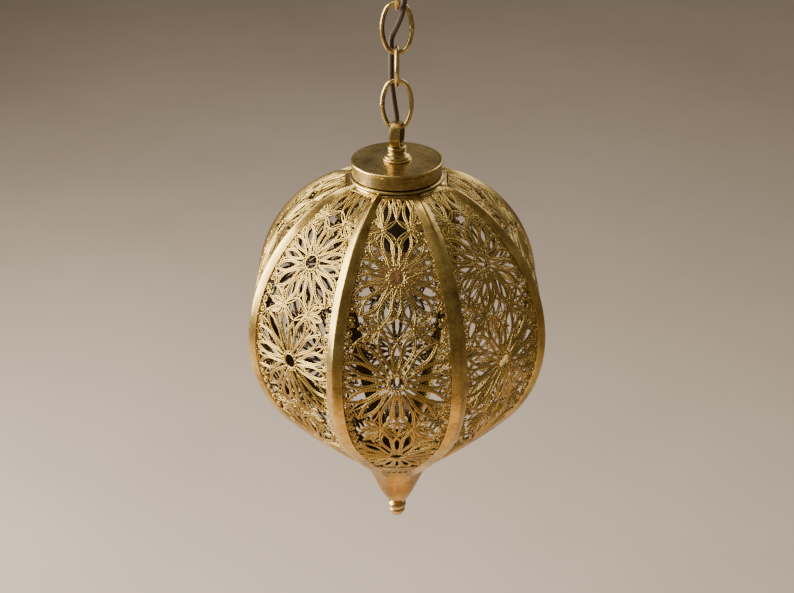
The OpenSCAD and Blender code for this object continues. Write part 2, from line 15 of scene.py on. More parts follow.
import bmesh
import bpy
import numpy as np
from mathutils import Matrix, Vector

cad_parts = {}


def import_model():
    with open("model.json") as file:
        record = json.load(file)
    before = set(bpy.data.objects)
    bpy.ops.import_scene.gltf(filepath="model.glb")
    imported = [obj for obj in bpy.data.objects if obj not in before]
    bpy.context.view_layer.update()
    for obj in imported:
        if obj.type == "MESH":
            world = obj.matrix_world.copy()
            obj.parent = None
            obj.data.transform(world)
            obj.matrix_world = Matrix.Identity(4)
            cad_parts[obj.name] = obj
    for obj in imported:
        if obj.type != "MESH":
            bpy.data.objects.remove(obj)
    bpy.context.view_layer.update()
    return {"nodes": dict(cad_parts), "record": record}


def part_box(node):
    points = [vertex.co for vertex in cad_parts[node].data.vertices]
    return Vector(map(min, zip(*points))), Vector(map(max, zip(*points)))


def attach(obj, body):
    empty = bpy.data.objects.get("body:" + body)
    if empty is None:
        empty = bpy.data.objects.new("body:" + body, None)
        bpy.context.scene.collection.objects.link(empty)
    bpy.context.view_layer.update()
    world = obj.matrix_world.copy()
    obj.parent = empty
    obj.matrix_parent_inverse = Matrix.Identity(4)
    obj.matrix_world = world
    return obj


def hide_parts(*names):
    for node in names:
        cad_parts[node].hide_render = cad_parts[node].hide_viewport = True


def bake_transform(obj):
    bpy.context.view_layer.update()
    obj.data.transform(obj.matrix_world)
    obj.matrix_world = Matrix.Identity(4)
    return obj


log = logging.getLogger("lantern")

MM = 0.001
SECTORS = 8
SECTOR = math.tau / SECTORS
HALF_SECTOR = SECTOR / 2
BEAD_FOOT_OVER_EQUATOR = 115.15 * MM
LINK_WIDTH = 24.5 * MM

Colour = tuple[float, float, float]
Point3 = tuple[float, float, float]
Path = np.ndarray
Value = bpy.types.NodeSocket | float | tuple


class Body(str, Enum):
    """The moving bodies of the frame that pieces ride on."""

    ROSE = "ceiling_rose"
    HEAD = "lantern_head"
    GLOBE = "globe"

    @staticmethod
    def link(number: int) -> str:
        """Body of a chain link, counted upwards from the lantern."""
        return f"link_{number}"


class Slot(str, Enum):
    """The record's material slots, passed along with the modelled pieces."""

    BRASS = "antique_brass"
    CHAIN = "chain_brass"
    RIB = "rib_brass"
    FILIGREE = "filigree_brass"
    CORD = "cord_fabric"


# ------------------------------------------------------------------------------ node graphs


class Graph:
    """Adds nodes to a shader or geometry tree and joins their sockets."""

    def __init__(self, tree: bpy.types.NodeTree) -> None:
        """Wrap a tree."""
        self.tree = tree

    def add(self, kind: str, inputs: dict | None = None, **settings: object) -> bpy.types.Node:
        """Add one node.

        Args:
            kind: The node's type name.
            inputs: Values or source sockets, by input name or number.
            settings: Attributes of the node to set first.

        Returns:
            The new node.
        """
        node = self.tree.nodes.new(kind)
        for name, value in settings.items():
            setattr(node, name, value)
        for key, value in (inputs or {}).items():
            if isinstance(value, bpy.types.NodeSocket):
                self.tree.links.new(value, node.inputs[key])
            else:
                node.inputs[key].default_value = value
        return node

    def math(self, operation: str, *values: Value) -> bpy.types.NodeSocket:
        """Apply one math operation and return its output socket."""
        return self.add("ShaderNodeMath", dict(enumerate(values)), operation=operation).outputs[0]

    def mix(self, share: Value, first: Value, second: Value) -> bpy.types.NodeSocket:
        """Mix two colours.

        Args:
            share: How much of the second colour, 0 to 1.
            first: Colour at 0.
            second: Colour at 1.

        Returns:
            The mixed colour.
        """
        node = self.add("ShaderNodeMix", data_type="RGBA")
        for key, value in ((0, share), (6, first), (7, second)):
            if isinstance(value, bpy.types.NodeSocket):
                self.tree.links.new(value, node.inputs[key])
            else:
                node.inputs[key].default_value = value
        return node.outputs[2]

    def ramp(self, source: Value, stops: Sequence[tuple[float, Colour]]) -> bpy.types.NodeSocket:
        """Turn a value into a colour through a ramp of stops.

        Args:
            source: The value.
            stops: (place, colour) in rising order.

        Returns:
            The colour.
        """
        node = self.add("ShaderNodeValToRGB", {"Fac": source})
        bar = node.color_ramp.elements
        while len(bar) < len(stops):
            bar.new(0.5)
        for element, (place, colour) in zip(bar, stops):
            element.position = place
            element.color = (*colour, 1)
        return node.outputs["Color"]

    def noise(
        self, where: Value, scale: float, detail: float = 4, rough: float = 0.55
    ) -> bpy.types.NodeSocket:
        """Return a noise value read at a place.

        Args:
            where: The place it is read at.
            scale: How fine the noise is.
            detail: Layers of finer noise on top.
            rough: Strength of those layers.

        Returns:
            The noise value's socket.
        """
        return self.add(
            "ShaderNodeTexNoise",
            {"Vector": where, "Scale": scale, "Detail": detail, "Roughness": rough},
        ).outputs["Fac"]


# ------------------------------------------------------------------------------ finishes


class Finish:
    """A finish makes one material the first time it is asked for."""

    made: dict[str, bpy.types.Material] = {}
    name: str = "finish"

    def material(self) -> bpy.types.Material:
        """Return the material, made once and shared."""
        if self.name not in Finish.made:
            material = bpy.data.materials.new(self.name)
            material.use_nodes = True
            material.node_tree.nodes.clear()
            graph = Graph(material.node_tree)
            shader = self.paint(graph)
            graph.add("ShaderNodeOutputMaterial", {"Surface": shader.outputs["BSDF"]})
            Finish.made[self.name] = material
        return Finish.made[self.name]

    def paint(self, graph: Graph) -> bpy.types.Node:
        """Build the shader and return its Principled node."""
        raise NotImplementedError

    @staticmethod
    def place(graph: Graph, stretch: tuple[float, float, float] = (1, 1, 1)) -> bpy.types.NodeSocket:
        """Object coordinates, stretched along the axes."""
        where = graph.add("ShaderNodeTexCoord").outputs["Object"]
        if stretch == (1, 1, 1):
            return where
        return graph.add("ShaderNodeMapping", {"Vector": where, "Scale": stretch}).outputs["Vector"]

    @staticmethod
    def bump(graph: Graph, *layers: tuple[bpy.types.NodeSocket, float, float]) -> bpy.types.NodeSocket:
        """Stack bump layers of (height, strength, depth in metres) and return the normal."""
        normal = None
        for height, strength, depth in layers:
            node = graph.add("ShaderNodeBump", {"Strength": strength, "Distance": depth, "Height": height})
            if normal is not None:
                graph.tree.links.new(normal, node.inputs["Normal"])
            normal = node.outputs["Normal"]
        return normal


@dataclass(frozen=True)
class AgedBrass(Finish):
    """Brass that has gone brown in its hollows and been rubbed bright where hands reach."""

    name: str = "aged_brass"
    bright: Colour = (0.81, 0.63, 0.265)
    warm: Colour = (0.53, 0.365, 0.112)
    brown: Colour = (0.155, 0.088, 0.026)
    patina: float = 0.45
    cloud: float = 22.0
    rough: float = 0.27
    brushed: tuple[float, float, float] = (1, 1, 1)
    brush_depth: float = 0.05 * MM
    grooved: bool = False

    def paint(self, graph: Graph) -> bpy.types.Node:
        """Clouded patina, worn crests, painted shade on faces turned to the axis, fine scratches and a soft
        bump.
        """
        where = self.place(graph)
        clouds = graph.noise(where, self.cloud, 6, 0.62)
        grain = graph.noise(where, 420, 3, 0.6)
        blotch = graph.math("ADD", graph.math("MULTIPLY", clouds, 0.75), graph.math("MULTIPLY", grain, 0.25))
        low = 0.5 - 0.30 * self.patina
        high = 0.5 + 0.34 * (1 - self.patina)
        tint = graph.ramp(
            graph.math("ADD", blotch, (0.5 - self.patina) * 0.16),
            [(low, self.brown), ((low + high) / 2, self.warm), (high, self.bright)],
        )
        worn = graph.add("ShaderNodeNewGeometry").outputs["Pointiness"]
        crest = graph.add(
            "ShaderNodeMapRange",
            {"Value": worn, "From Min": 0.50, "From Max": 0.60, "To Min": 0.0, "To Max": 0.7},
        ).outputs["Result"]
        hollow = graph.add(
            "ShaderNodeMapRange",
            {"Value": worn, "From Min": 0.49, "From Max": 0.40, "To Min": 0.0, "To Max": 0.75},
        ).outputs["Result"]
        tint = graph.mix(crest, tint, (*self.bright, 1))
        tint = graph.mix(hollow, tint, (*self.brown, 1))
        # Painted shade: faces turned towards the lantern's axis, on the inside of the globe, are darkened
        # towards half the brown.
        tint = graph.mix(self.inward_painted_shade(graph), tint, (*(0.5 * c for c in self.brown), 1))
        if self.grooved:
            groove = graph.add("ShaderNodeAttribute", attribute_name="groove").outputs["Fac"]
            tint = graph.mix(graph.math("MULTIPLY", groove, 0.75), tint, (*self.brown, 1))
        streak = graph.noise(self.place(graph, self.brushed), 900, 2, 0.7)
        rough = graph.add(
            "ShaderNodeMapRange",
            {
                "Value": graph.math(
                    "ADD", graph.math("MULTIPLY", clouds, 0.6), graph.math("MULTIPLY", streak, 0.4)
                ),
                "From Min": 0.3,
                "From Max": 0.7,
                "To Min": self.rough + 0.10,
                "To Max": self.rough - 0.05,
            },
        ).outputs["Result"]
        dents = graph.noise(where, 55, 2, 0.5)
        normal = self.bump(
            graph,
            (dents, 0.25, 0.6 * MM),
            (streak, 0.35, self.brush_depth),
            (grain, 0.2, 0.08 * MM),
        )
        return graph.add(
            "ShaderNodeBsdfPrincipled",
            {"Base Color": tint, "Metallic": 1.0, "Roughness": rough, "Normal": normal},
        )

    @staticmethod
    def inward_painted_shade(graph: Graph) -> bpy.types.NodeSocket:
        """Painted shade: how far a face looks at the lantern's axis, into the shaded inside of the globe."""
        told = graph.add("ShaderNodeTexCoord")
        flat = (1.0, 1.0, 0.0)
        place = graph.add("ShaderNodeVectorMath", {0: told.outputs["Object"], 1: flat}, operation="MULTIPLY")
        ray = graph.add("ShaderNodeVectorMath", {0: place.outputs[0]}, operation="NORMALIZE")
        lean = graph.add(
            "ShaderNodeVectorMath", {0: ray.outputs[0], 1: told.outputs["Normal"]}, operation="DOT_PRODUCT"
        )
        return graph.add(
            "ShaderNodeMapRange",
            {
                "Value": lean.outputs["Value"],
                "From Min": 0.0,
                "From Max": -0.45,
                "To Min": 0.0,
                "To Max": 0.85,
            },
        ).outputs["Result"]


@dataclass(frozen=True)
class ZincSteel(Finish):
    """Zinc-plated steel with a faint spangle."""

    name: str = "zinc_steel"

    def paint(self, graph: Graph) -> bpy.types.Node:
        """Cool grey metal whose crystals vary in tone."""
        where = self.place(graph)
        spangle = graph.add("ShaderNodeTexVoronoi", {"Vector": where, "Scale": 380}).outputs["Color"]
        tone = graph.add("ShaderNodeSeparateColor", {"Color": spangle}).outputs[0]
        tint = graph.ramp(tone, [(0.0, (0.36, 0.37, 0.38)), (1.0, (0.58, 0.58, 0.57))])
        rough = graph.add(
            "ShaderNodeMapRange", {"Value": tone, "To Min": 0.28, "To Max": 0.46}
        ).outputs["Result"]
        normal = self.bump(graph, (graph.noise(where, 600, 3), 0.2, 0.05 * MM))
        return graph.add(
            "ShaderNodeBsdfPrincipled",
            {"Base Color": tint, "Metallic": 1.0, "Roughness": rough, "Normal": normal},
        )


@dataclass(frozen=True)
class Moulded(Finish):
    """Moulded or glazed material: bakelite, rubber or porcelain."""

    name: str = "moulded"
    tone: Colour = (0.05, 0.03, 0.02)
    fleck: Colour = (0.09, 0.05, 0.03)
    rough: float = 0.3
    grain: float = 260.0
    relief: float = 0.06 * MM

    def paint(self, graph: Graph) -> bpy.types.Node:
        """Two close tones with a fine skin."""
        where = self.place(graph)
        flow = graph.noise(where, self.grain, 5, 0.6)
        dust = graph.noise(where, 40, 3, 0.6)
        tint = graph.ramp(flow, [(0.35, self.tone), (0.68, self.fleck)])
        rough = graph.add(
            "ShaderNodeMapRange", {"Value": dust, "To Min": self.rough - 0.08, "To Max": self.rough + 0.16}
        ).outputs["Result"]
        normal = self.bump(graph, (flow, 0.25, self.relief))
        return graph.add(
            "ShaderNodeBsdfPrincipled", {"Base Color": tint, "Roughness": rough, "Normal": normal}
        )


@dataclass(frozen=True)
class AmberGlass(Finish):
    """Clear warm bulb glass."""

    name: str = "amber_glass"

    def paint(self, graph: Graph) -> bpy.types.Node:
        """Warm tint with a faint unevenness."""
        where = self.place(graph)
        etch = graph.noise(where, 700, 2, 0.5)
        tint = graph.ramp(etch, [(0.3, (0.80, 0.62, 0.38)), (0.7, (0.90, 0.74, 0.50))])
        normal = self.bump(graph, (etch, 0.15, 0.03 * MM))
        return graph.add(
            "ShaderNodeBsdfPrincipled",
            {
                "Base Color": tint,
                "Roughness": 0.12,
                "Transmission Weight": 0.92,
                "IOR": 1.35,
                "Normal": normal,
            },
        )


@dataclass(frozen=True)
class Braid(Finish):
    """Brown braided sleeve; the piece's UV runs along and around the cord."""

    name: str = "cord_braid"
    thread: Colour = (0.085, 0.040, 0.013)
    shade: Colour = (0.022, 0.011, 0.004)
    picks: float = 260.0
    strands: float = 8.0

    def paint(self, graph: Graph) -> bpy.types.Node:
        """Two sets of strands that wind opposite ways."""
        uv = graph.add("ShaderNodeUVMap", uv_map="along").outputs["UV"]
        split = graph.add("ShaderNodeSeparateXYZ", {"Vector": uv})
        along = graph.math("MULTIPLY", split.outputs["X"], self.picks)
        around = graph.math("MULTIPLY", split.outputs["Y"], self.strands)
        waves = [
            graph.math("SINE", graph.math("MULTIPLY", graph.math(turn, along, around), math.tau))
            for turn in ("ADD", "SUBTRACT")
        ]
        weave = graph.math("MAXIMUM", *waves)
        lift = graph.add(
            "ShaderNodeMapRange", {"Value": weave, "From Min": -1.0, "From Max": 1.0}
        ).outputs["Result"]
        fuzz = graph.noise(self.place(graph), 900, 3, 0.7)
        tint = graph.ramp(
            graph.math("ADD", graph.math("MULTIPLY", lift, 0.7), graph.math("MULTIPLY", fuzz, 0.3)),
            [(0.2, self.shade), (0.85, self.thread)],
        )
        normal = self.bump(graph, (lift, 0.7, 0.25 * MM), (fuzz, 0.3, 0.05 * MM))
        return graph.add(
            "ShaderNodeBsdfPrincipled",
            {"Base Color": tint, "Roughness": 0.66, "Sheen Weight": 0.08, "Normal": normal},
        )


@dataclass(frozen=True)
class Plaster(Finish):
    """Plain pale floor."""

    name: str = "pale_floor"

    def paint(self, graph: Graph) -> bpy.types.Node:
        """Very faint mottling so that the floor is not a flat colour."""
        cloud = graph.noise(self.place(graph), 1.6, 4, 0.6)
        tint = graph.ramp(cloud, [(0.3, (0.47, 0.375, 0.295)), (0.7, (0.52, 0.42, 0.335))])
        return graph.add("ShaderNodeBsdfPrincipled", {"Base Color": tint, "Roughness": 0.85})


RIB_BRASS = AgedBrass(
    "rib_brass", (0.78, 0.58, 0.21), (0.50, 0.33, 0.09), patina=0.46, cloud=26, rough=0.24,
    brushed=(1, 1, 0.06),
)
TURNED_BRASS = AgedBrass("turned_brass", patina=0.36, cloud=30, rough=0.26, brushed=(0.08, 0.08, 1))
WIRE_BRASS = AgedBrass(
    "wire_brass", (0.76, 0.54, 0.16), (0.44, 0.275, 0.062), patina=0.66, cloud=60, rough=0.33, grooved=True
)
FOOT_BRASS = AgedBrass(
    "foot_brass", (0.58, 0.375, 0.105), (0.36, 0.20, 0.046), patina=0.66, cloud=30, rough=0.30
)
CHAIN_BRASS = AgedBrass("chain_brass", patina=0.40, cloud=110, rough=0.24)
BAKELITE = Moulded("bakelite")
RUBBER = Moulded("rubber", (0.020, 0.018, 0.016), (0.035, 0.03, 0.028), 0.6, 500)
PORCELAIN = Moulded("porcelain", (0.72, 0.69, 0.62), (0.80, 0.78, 0.72), 0.2, 60, 0.02 * MM)


# ------------------------------------------------------------------------------ meshes


def link_object(name: str, mesh: bpy.types.Mesh) -> bpy.types.Object:
    """Put a mesh in the scene as a piece at the origin."""
    piece = bpy.data.objects.new(name, mesh)
    bpy.context.scene.collection.objects.link(piece)
    return piece


def shade(mesh: bpy.types.Mesh, crease_deg: float = 38) -> None:
    """Smooth a mesh but keep edges sharper than an angle."""
    mesh.polygons.foreach_set("use_smooth", np.ones(len(mesh.polygons), bool))
    mesh.set_sharp_from_angle(angle=math.radians(crease_deg))
    mesh.update()


def grid_mesh(name: str, rows: np.ndarray, close_rows: bool, close_columns: bool) -> bpy.types.Mesh:
    """Make a mesh from a grid of points.

    Args:
        name: The mesh's name.
        rows: Points with shape (rows, columns, 3).
        close_rows: Whether the last row joins the first.
        close_columns: Whether the last column joins the first.

    Returns:
        The mesh, one quad per cell.
    """
    count, width, _ = rows.shape
    faces = []
    for i in range(count if close_rows else count - 1):
        for j in range(width if close_columns else width - 1):
            i2 = (i + 1) % count
            j2 = (j + 1) % width
            faces.append((i * width + j, i * width + j2, i2 * width + j2, i2 * width + j))
    mesh = bpy.data.meshes.new(name)
    mesh.from_pydata(rows.reshape(-1, 3).tolist(), [], faces)
    return mesh


def round_corners(outline: Sequence[tuple[float, float, float]], steps: int = 4) -> np.ndarray:
    """Round the corners of a closed outline.

    Args:
        outline: Points (r, z, radius) in millimetres, anticlockwise.
        steps: Points on each rounded corner.

    Returns:
        Points (r, z) in metres.
    """
    points = []
    total = len(outline)
    for i, (r, z, radius) in enumerate(outline):
        here = np.array([r, z])
        before = np.array(outline[i - 1][:2]) - here
        after = np.array(outline[(i + 1) % total][:2]) - here
        reach = min(radius, 0.49 * np.linalg.norm(before), 0.49 * np.linalg.norm(after))
        if reach <= 0:
            points.append(here)
            continue
        start = here + before / np.linalg.norm(before) * reach
        end = here + after / np.linalg.norm(after) * reach
        for t in np.linspace(0, 1, steps + 1):
            points.append((1 - t) ** 2 * start + 2 * t * (1 - t) * here + t**2 * end)
    return np.array(points) * MM


def lathe(name: str, outline: Sequence[tuple[float, float, float]], segments: int = 128) -> bpy.types.Mesh:
    """Turn a closed outline of (r, z, corner radius) about Z; points on the axis are welded.

    Args:
        name: The mesh's name.
        outline: Corners in millimetres, in order round the section.
        segments: Steps round the axis.

    Returns:
        The closed, shaded mesh.
    """
    profile = round_corners(outline)
    turn = np.linspace(0, math.tau, segments, endpoint=False)
    rows = np.zeros((segments, len(profile), 3))
    rows[:, :, 0] = profile[None, :, 0] * np.sin(turn)[:, None]
    rows[:, :, 1] = -profile[None, :, 0] * np.cos(turn)[:, None]
    rows[:, :, 2] = profile[None, :, 1]
    mesh = grid_mesh(name, rows, True, True)
    clean(mesh)
    shade(mesh)
    return mesh


def clean(mesh: bpy.types.Mesh) -> None:
    """Merge doubles, drop empty faces and point every face outwards."""
    work = bmesh.new()
    work.from_mesh(mesh)
    bmesh.ops.remove_doubles(work, verts=work.verts, dist=1e-6)
    bmesh.ops.dissolve_degenerate(work, edges=work.edges, dist=1e-7)
    bmesh.ops.recalc_face_normals(work, faces=work.faces)
    work.to_mesh(mesh)
    work.free()


def spun(mesh: bpy.types.Mesh, name: str, sector: float) -> bpy.types.Mesh:
    """Copy a mesh, turned about Z by a number of sectors."""
    twin = mesh.copy()
    twin.name = name
    twin.transform(Matrix.Rotation(sector * SECTOR, 4, "Z"))
    return twin


class Wires:
    """A net of wires as polylines, each with its own gauge."""

    def __init__(self) -> None:
        """Start with no wire."""
        self.paths: list[tuple[Path, float, bool]] = []

    def add(self, path: Path, gauge: float = 1.0, closed: bool = False) -> None:
        """Add one wire."""
        self.paths.append((np.asarray(path, float), gauge, closed))

    def mesh(self, name: str, place: Callable[[Path], Path]) -> bpy.types.Mesh:
        """Make the polylines, each point put in space by a function, with their gauges stored.

        Args:
            name: The mesh's name.
            place: Takes a path to its points in space.

        Returns:
            Edges only, with a gauge on each point.
        """
        points: list = []
        edges: list[tuple[int, int]] = []
        gauges: list[float] = []
        for path, gauge, closed in self.paths:
            first = len(points)
            points.extend(place(path).tolist())
            gauges.extend([gauge] * len(path))
            edges.extend((first + i, first + i + 1) for i in range(len(path) - 1))
            if closed:
                edges.append((first + len(path) - 1, first))
        mesh = bpy.data.meshes.new(name)
        mesh.from_pydata(points, edges, [])
        mesh.attributes.new("gauge", "FLOAT", "POINT").data.foreach_set("value", gauges)
        return mesh


class Grower:
    """Geometry trees that turn polylines into drawn wire and points into beads."""

    def __init__(self) -> None:
        """Build the two trees once."""
        self.wire_tree = self._wire()
        self.bead_tree = self._beads()

    @staticmethod
    def _tree(name: str, sockets: Iterable[tuple[str, str]]) -> bpy.types.NodeTree:
        """Make an empty geometry tree with named inputs."""
        tree = bpy.data.node_groups.new(name, "GeometryNodeTree")
        for label, kind in sockets:
            tree.interface.new_socket(label, in_out="INPUT", socket_type=kind)
        tree.interface.new_socket("Mesh", in_out="OUTPUT", socket_type="NodeSocketGeometry")
        return tree

    def _wire(self) -> bpy.types.NodeTree:
        """Polylines to round wire whose radius swells and shrinks from ring to ring."""
        tree = self._tree(
            "drawn_wire",
            (
                ("Wires", "NodeSocketGeometry"),
                ("Wire radius", "NodeSocketFloat"),
                ("Ring spacing", "NodeSocketFloat"),
                ("Twist depth", "NodeSocketFloat"),
                ("Sides", "NodeSocketInt"),
                ("Finish", "NodeSocketMaterial"),
            ),
        )
        graph = Graph(tree)
        given = graph.add("NodeGroupInput").outputs
        curve = graph.add("GeometryNodeMeshToCurve", {"Mesh": given["Wires"]}).outputs["Curve"]
        fine = graph.add(
            "GeometryNodeResampleCurve", {"Curve": curve, "Length": given["Ring spacing"]}, mode="LENGTH"
        )
        gauge = self._gauge(graph)
        parity = graph.math("MODULO", graph.add("GeometryNodeInputIndex").outputs["Index"], 2.0)
        shrink = graph.math("SUBTRACT", 1.0, graph.math("MULTIPLY", parity, given["Twist depth"]))
        radius = graph.math("MULTIPLY", graph.math("MULTIPLY", gauge, shrink), given["Wire radius"])
        marked = graph.add(
            "GeometryNodeStoreNamedAttribute",
            {"Geometry": fine.outputs["Curve"], "Name": "groove", "Value": parity},
            data_type="FLOAT",
            domain="POINT",
        )
        sized = graph.add(
            "GeometryNodeSetCurveRadius", {"Curve": marked.outputs["Geometry"], "Radius": radius}
        )
        ring = graph.add(
            "GeometryNodeCurvePrimitiveCircle", {"Resolution": given["Sides"], "Radius": 1.0}, mode="RADIUS"
        )
        swept = graph.add(
            "GeometryNodeCurveToMesh",
            {"Curve": sized.outputs["Curve"], "Profile Curve": ring.outputs["Curve"], "Fill Caps": True},
        )
        if "Scale" in swept.inputs:
            tree.links.new(radius, swept.inputs["Scale"])
        smooth = graph.add("GeometryNodeSetShadeSmooth", {"Geometry": swept.outputs["Mesh"]})
        self._finish(graph, smooth.outputs["Geometry"], given["Finish"])
        return tree

    def _beads(self) -> bpy.types.NodeTree:
        """Points to small round grains."""
        tree = self._tree(
            "grains",
            (
                ("Points", "NodeSocketGeometry"),
                ("Bead radius", "NodeSocketFloat"),
                ("Finish", "NodeSocketMaterial"),
            ),
        )
        graph = Graph(tree)
        given = graph.add("NodeGroupInput").outputs
        ball = graph.add("GeometryNodeMeshIcoSphere", {"Radius": 1.0, "Subdivisions": 2})
        gauge = self._gauge(graph)
        placed = graph.add(
            "GeometryNodeInstanceOnPoints",
            {
                "Points": given["Points"],
                "Instance": ball.outputs["Mesh"],
                "Scale": graph.math("MULTIPLY", gauge, given["Bead radius"]),
            },
        )
        smooth = graph.add("GeometryNodeSetShadeSmooth", {"Geometry": placed.outputs["Instances"]})
        self._finish(graph, smooth.outputs["Geometry"], given["Finish"])
        return tree

    @staticmethod
    def _gauge(graph: Graph) -> bpy.types.NodeSocket:
        """The thickness stored on each point."""
        return graph.add(
            "GeometryNodeInputNamedAttribute", {"Name": "gauge"}, data_type="FLOAT"
        ).outputs["Attribute"]

    @staticmethod
    def _finish(graph: Graph, source: bpy.types.NodeSocket, finish: bpy.types.NodeSocket) -> None:
        """End a tree in real geometry with its finish."""
        real = graph.add("GeometryNodeRealizeInstances", {"Geometry": source})
        dressed = graph.add(
            "GeometryNodeSetMaterial", {"Geometry": real.outputs["Geometry"], "Material": finish}
        )
        graph.add("NodeGroupOutput", {"Mesh": dressed.outputs["Geometry"]})

    def grow(self, tree: bpy.types.NodeTree, seed: bpy.types.Mesh, values: dict) -> bpy.types.Mesh:
        """Run a tree on a mesh and return the plain result.

        Args:
            tree: One of this object's trees.
            seed: The polylines or points that it starts from.
            values: Input values by the inputs' labels.

        Returns:
            The grown mesh.
        """
        host = link_object("seed", seed)
        modifier = host.modifiers.new("grow", "NODES")
        modifier.node_group = tree
        for item in tree.interface.items_tree:
            if item.item_type == "SOCKET" and item.in_out == "INPUT" and item.name in values:
                modifier[item.identifier] = values[item.name]
        depsgraph = bpy.context.evaluated_depsgraph_get()
        mesh = bpy.data.meshes.new_from_object(host.evaluated_get(depsgraph), depsgraph=depsgraph)
        host.modifiers.clear()
        bpy.data.objects.remove(host)
        bpy.data.meshes.remove(seed)
        return mesh

    def wire(self, seed: bpy.types.Mesh, radius: float, spacing: float, twist: float, sides: int,
             finish: Finish) -> bpy.types.Mesh:
        """Grow wire on polylines.

        Args:
            seed: The polylines.
            radius: Radius at gauge 1.
            spacing: Distance between rings.
            twist: Depth of the twisted groove.
            sides: Sides of the section.
            finish: The wire's look.

        Returns:
            The grown mesh.
        """
        return self.grow(
            self.wire_tree,
            seed,
            {
                "Wire radius": radius,
                "Ring spacing": spacing,
                "Twist depth": twist,
                "Sides": sides,
                "Finish": finish.material(),
            },
        )

    def beads(self, seed: bpy.types.Mesh, radius: float, finish: Finish) -> bpy.types.Mesh:
        """Grow grains on points."""
        return self.grow(self.bead_tree, seed, {"Bead radius": radius, "Finish": finish.material()})


def joined(name: str, parts: Sequence[bpy.types.Mesh]) -> bpy.types.Mesh:
    """Join meshes that share one material into one.

    Args:
        name: The new mesh's name.
        parts: The meshes; the first one gives the material.

    Returns:
        The joined mesh, with the grooves of its parts.
    """
    points: list[list[float]] = []
    faces: list[tuple[int, ...]] = []
    grooves: list[float] = []
    for part in parts:
        first = len(points)
        co = np.empty(len(part.vertices) * 3, np.float32)
        part.vertices.foreach_get("co", co)
        points.extend(co.reshape(-1, 3).tolist())
        faces.extend([tuple(v + first for v in p.vertices) for p in part.polygons])
        groove = np.zeros(len(part.vertices), np.float32)
        if "groove" in part.attributes:
            part.attributes["groove"].data.foreach_get("value", groove)
        grooves.extend(groove.tolist())
    mesh = bpy.data.meshes.new(name)
    mesh.from_pydata(points, [], faces)
    mesh.attributes.new("groove", "FLOAT", "POINT").data.foreach_set("value", grooves)
    mesh.polygons.foreach_set("use_smooth", np.ones(len(faces), bool))
    mesh.materials.append(parts[0].materials[0])
    mesh.update()
    return mesh


def settle(
    piece: bpy.types.Object, body: str | None, finish: Finish | None, slot: Slot, *nodes: str
) -> bpy.types.Object:
    """Dress a piece, put it on its body and hide the frame nodes that it stands for.

    Args:
        piece: The piece.
        body: The body that it rides on, or None for a piece that is put on no body.
        finish: Its finish, or None if it has one.
        slot: The record's slot that it takes its finish from; not used.
        nodes: The frame nodes that it replaces.

    Returns:
        The piece.
    """
    if finish is not None:
        piece.data.materials.clear()
        piece.data.materials.append(finish.material())
    if body is not None:
        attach(piece, body.value if isinstance(body, Body) else body)
    if nodes:
        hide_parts(*nodes)
    log.info("%s: %d faces", piece.name, len(piece.data.polygons))
    return piece


# ------------------------------------------------------------------------------ the globe's form


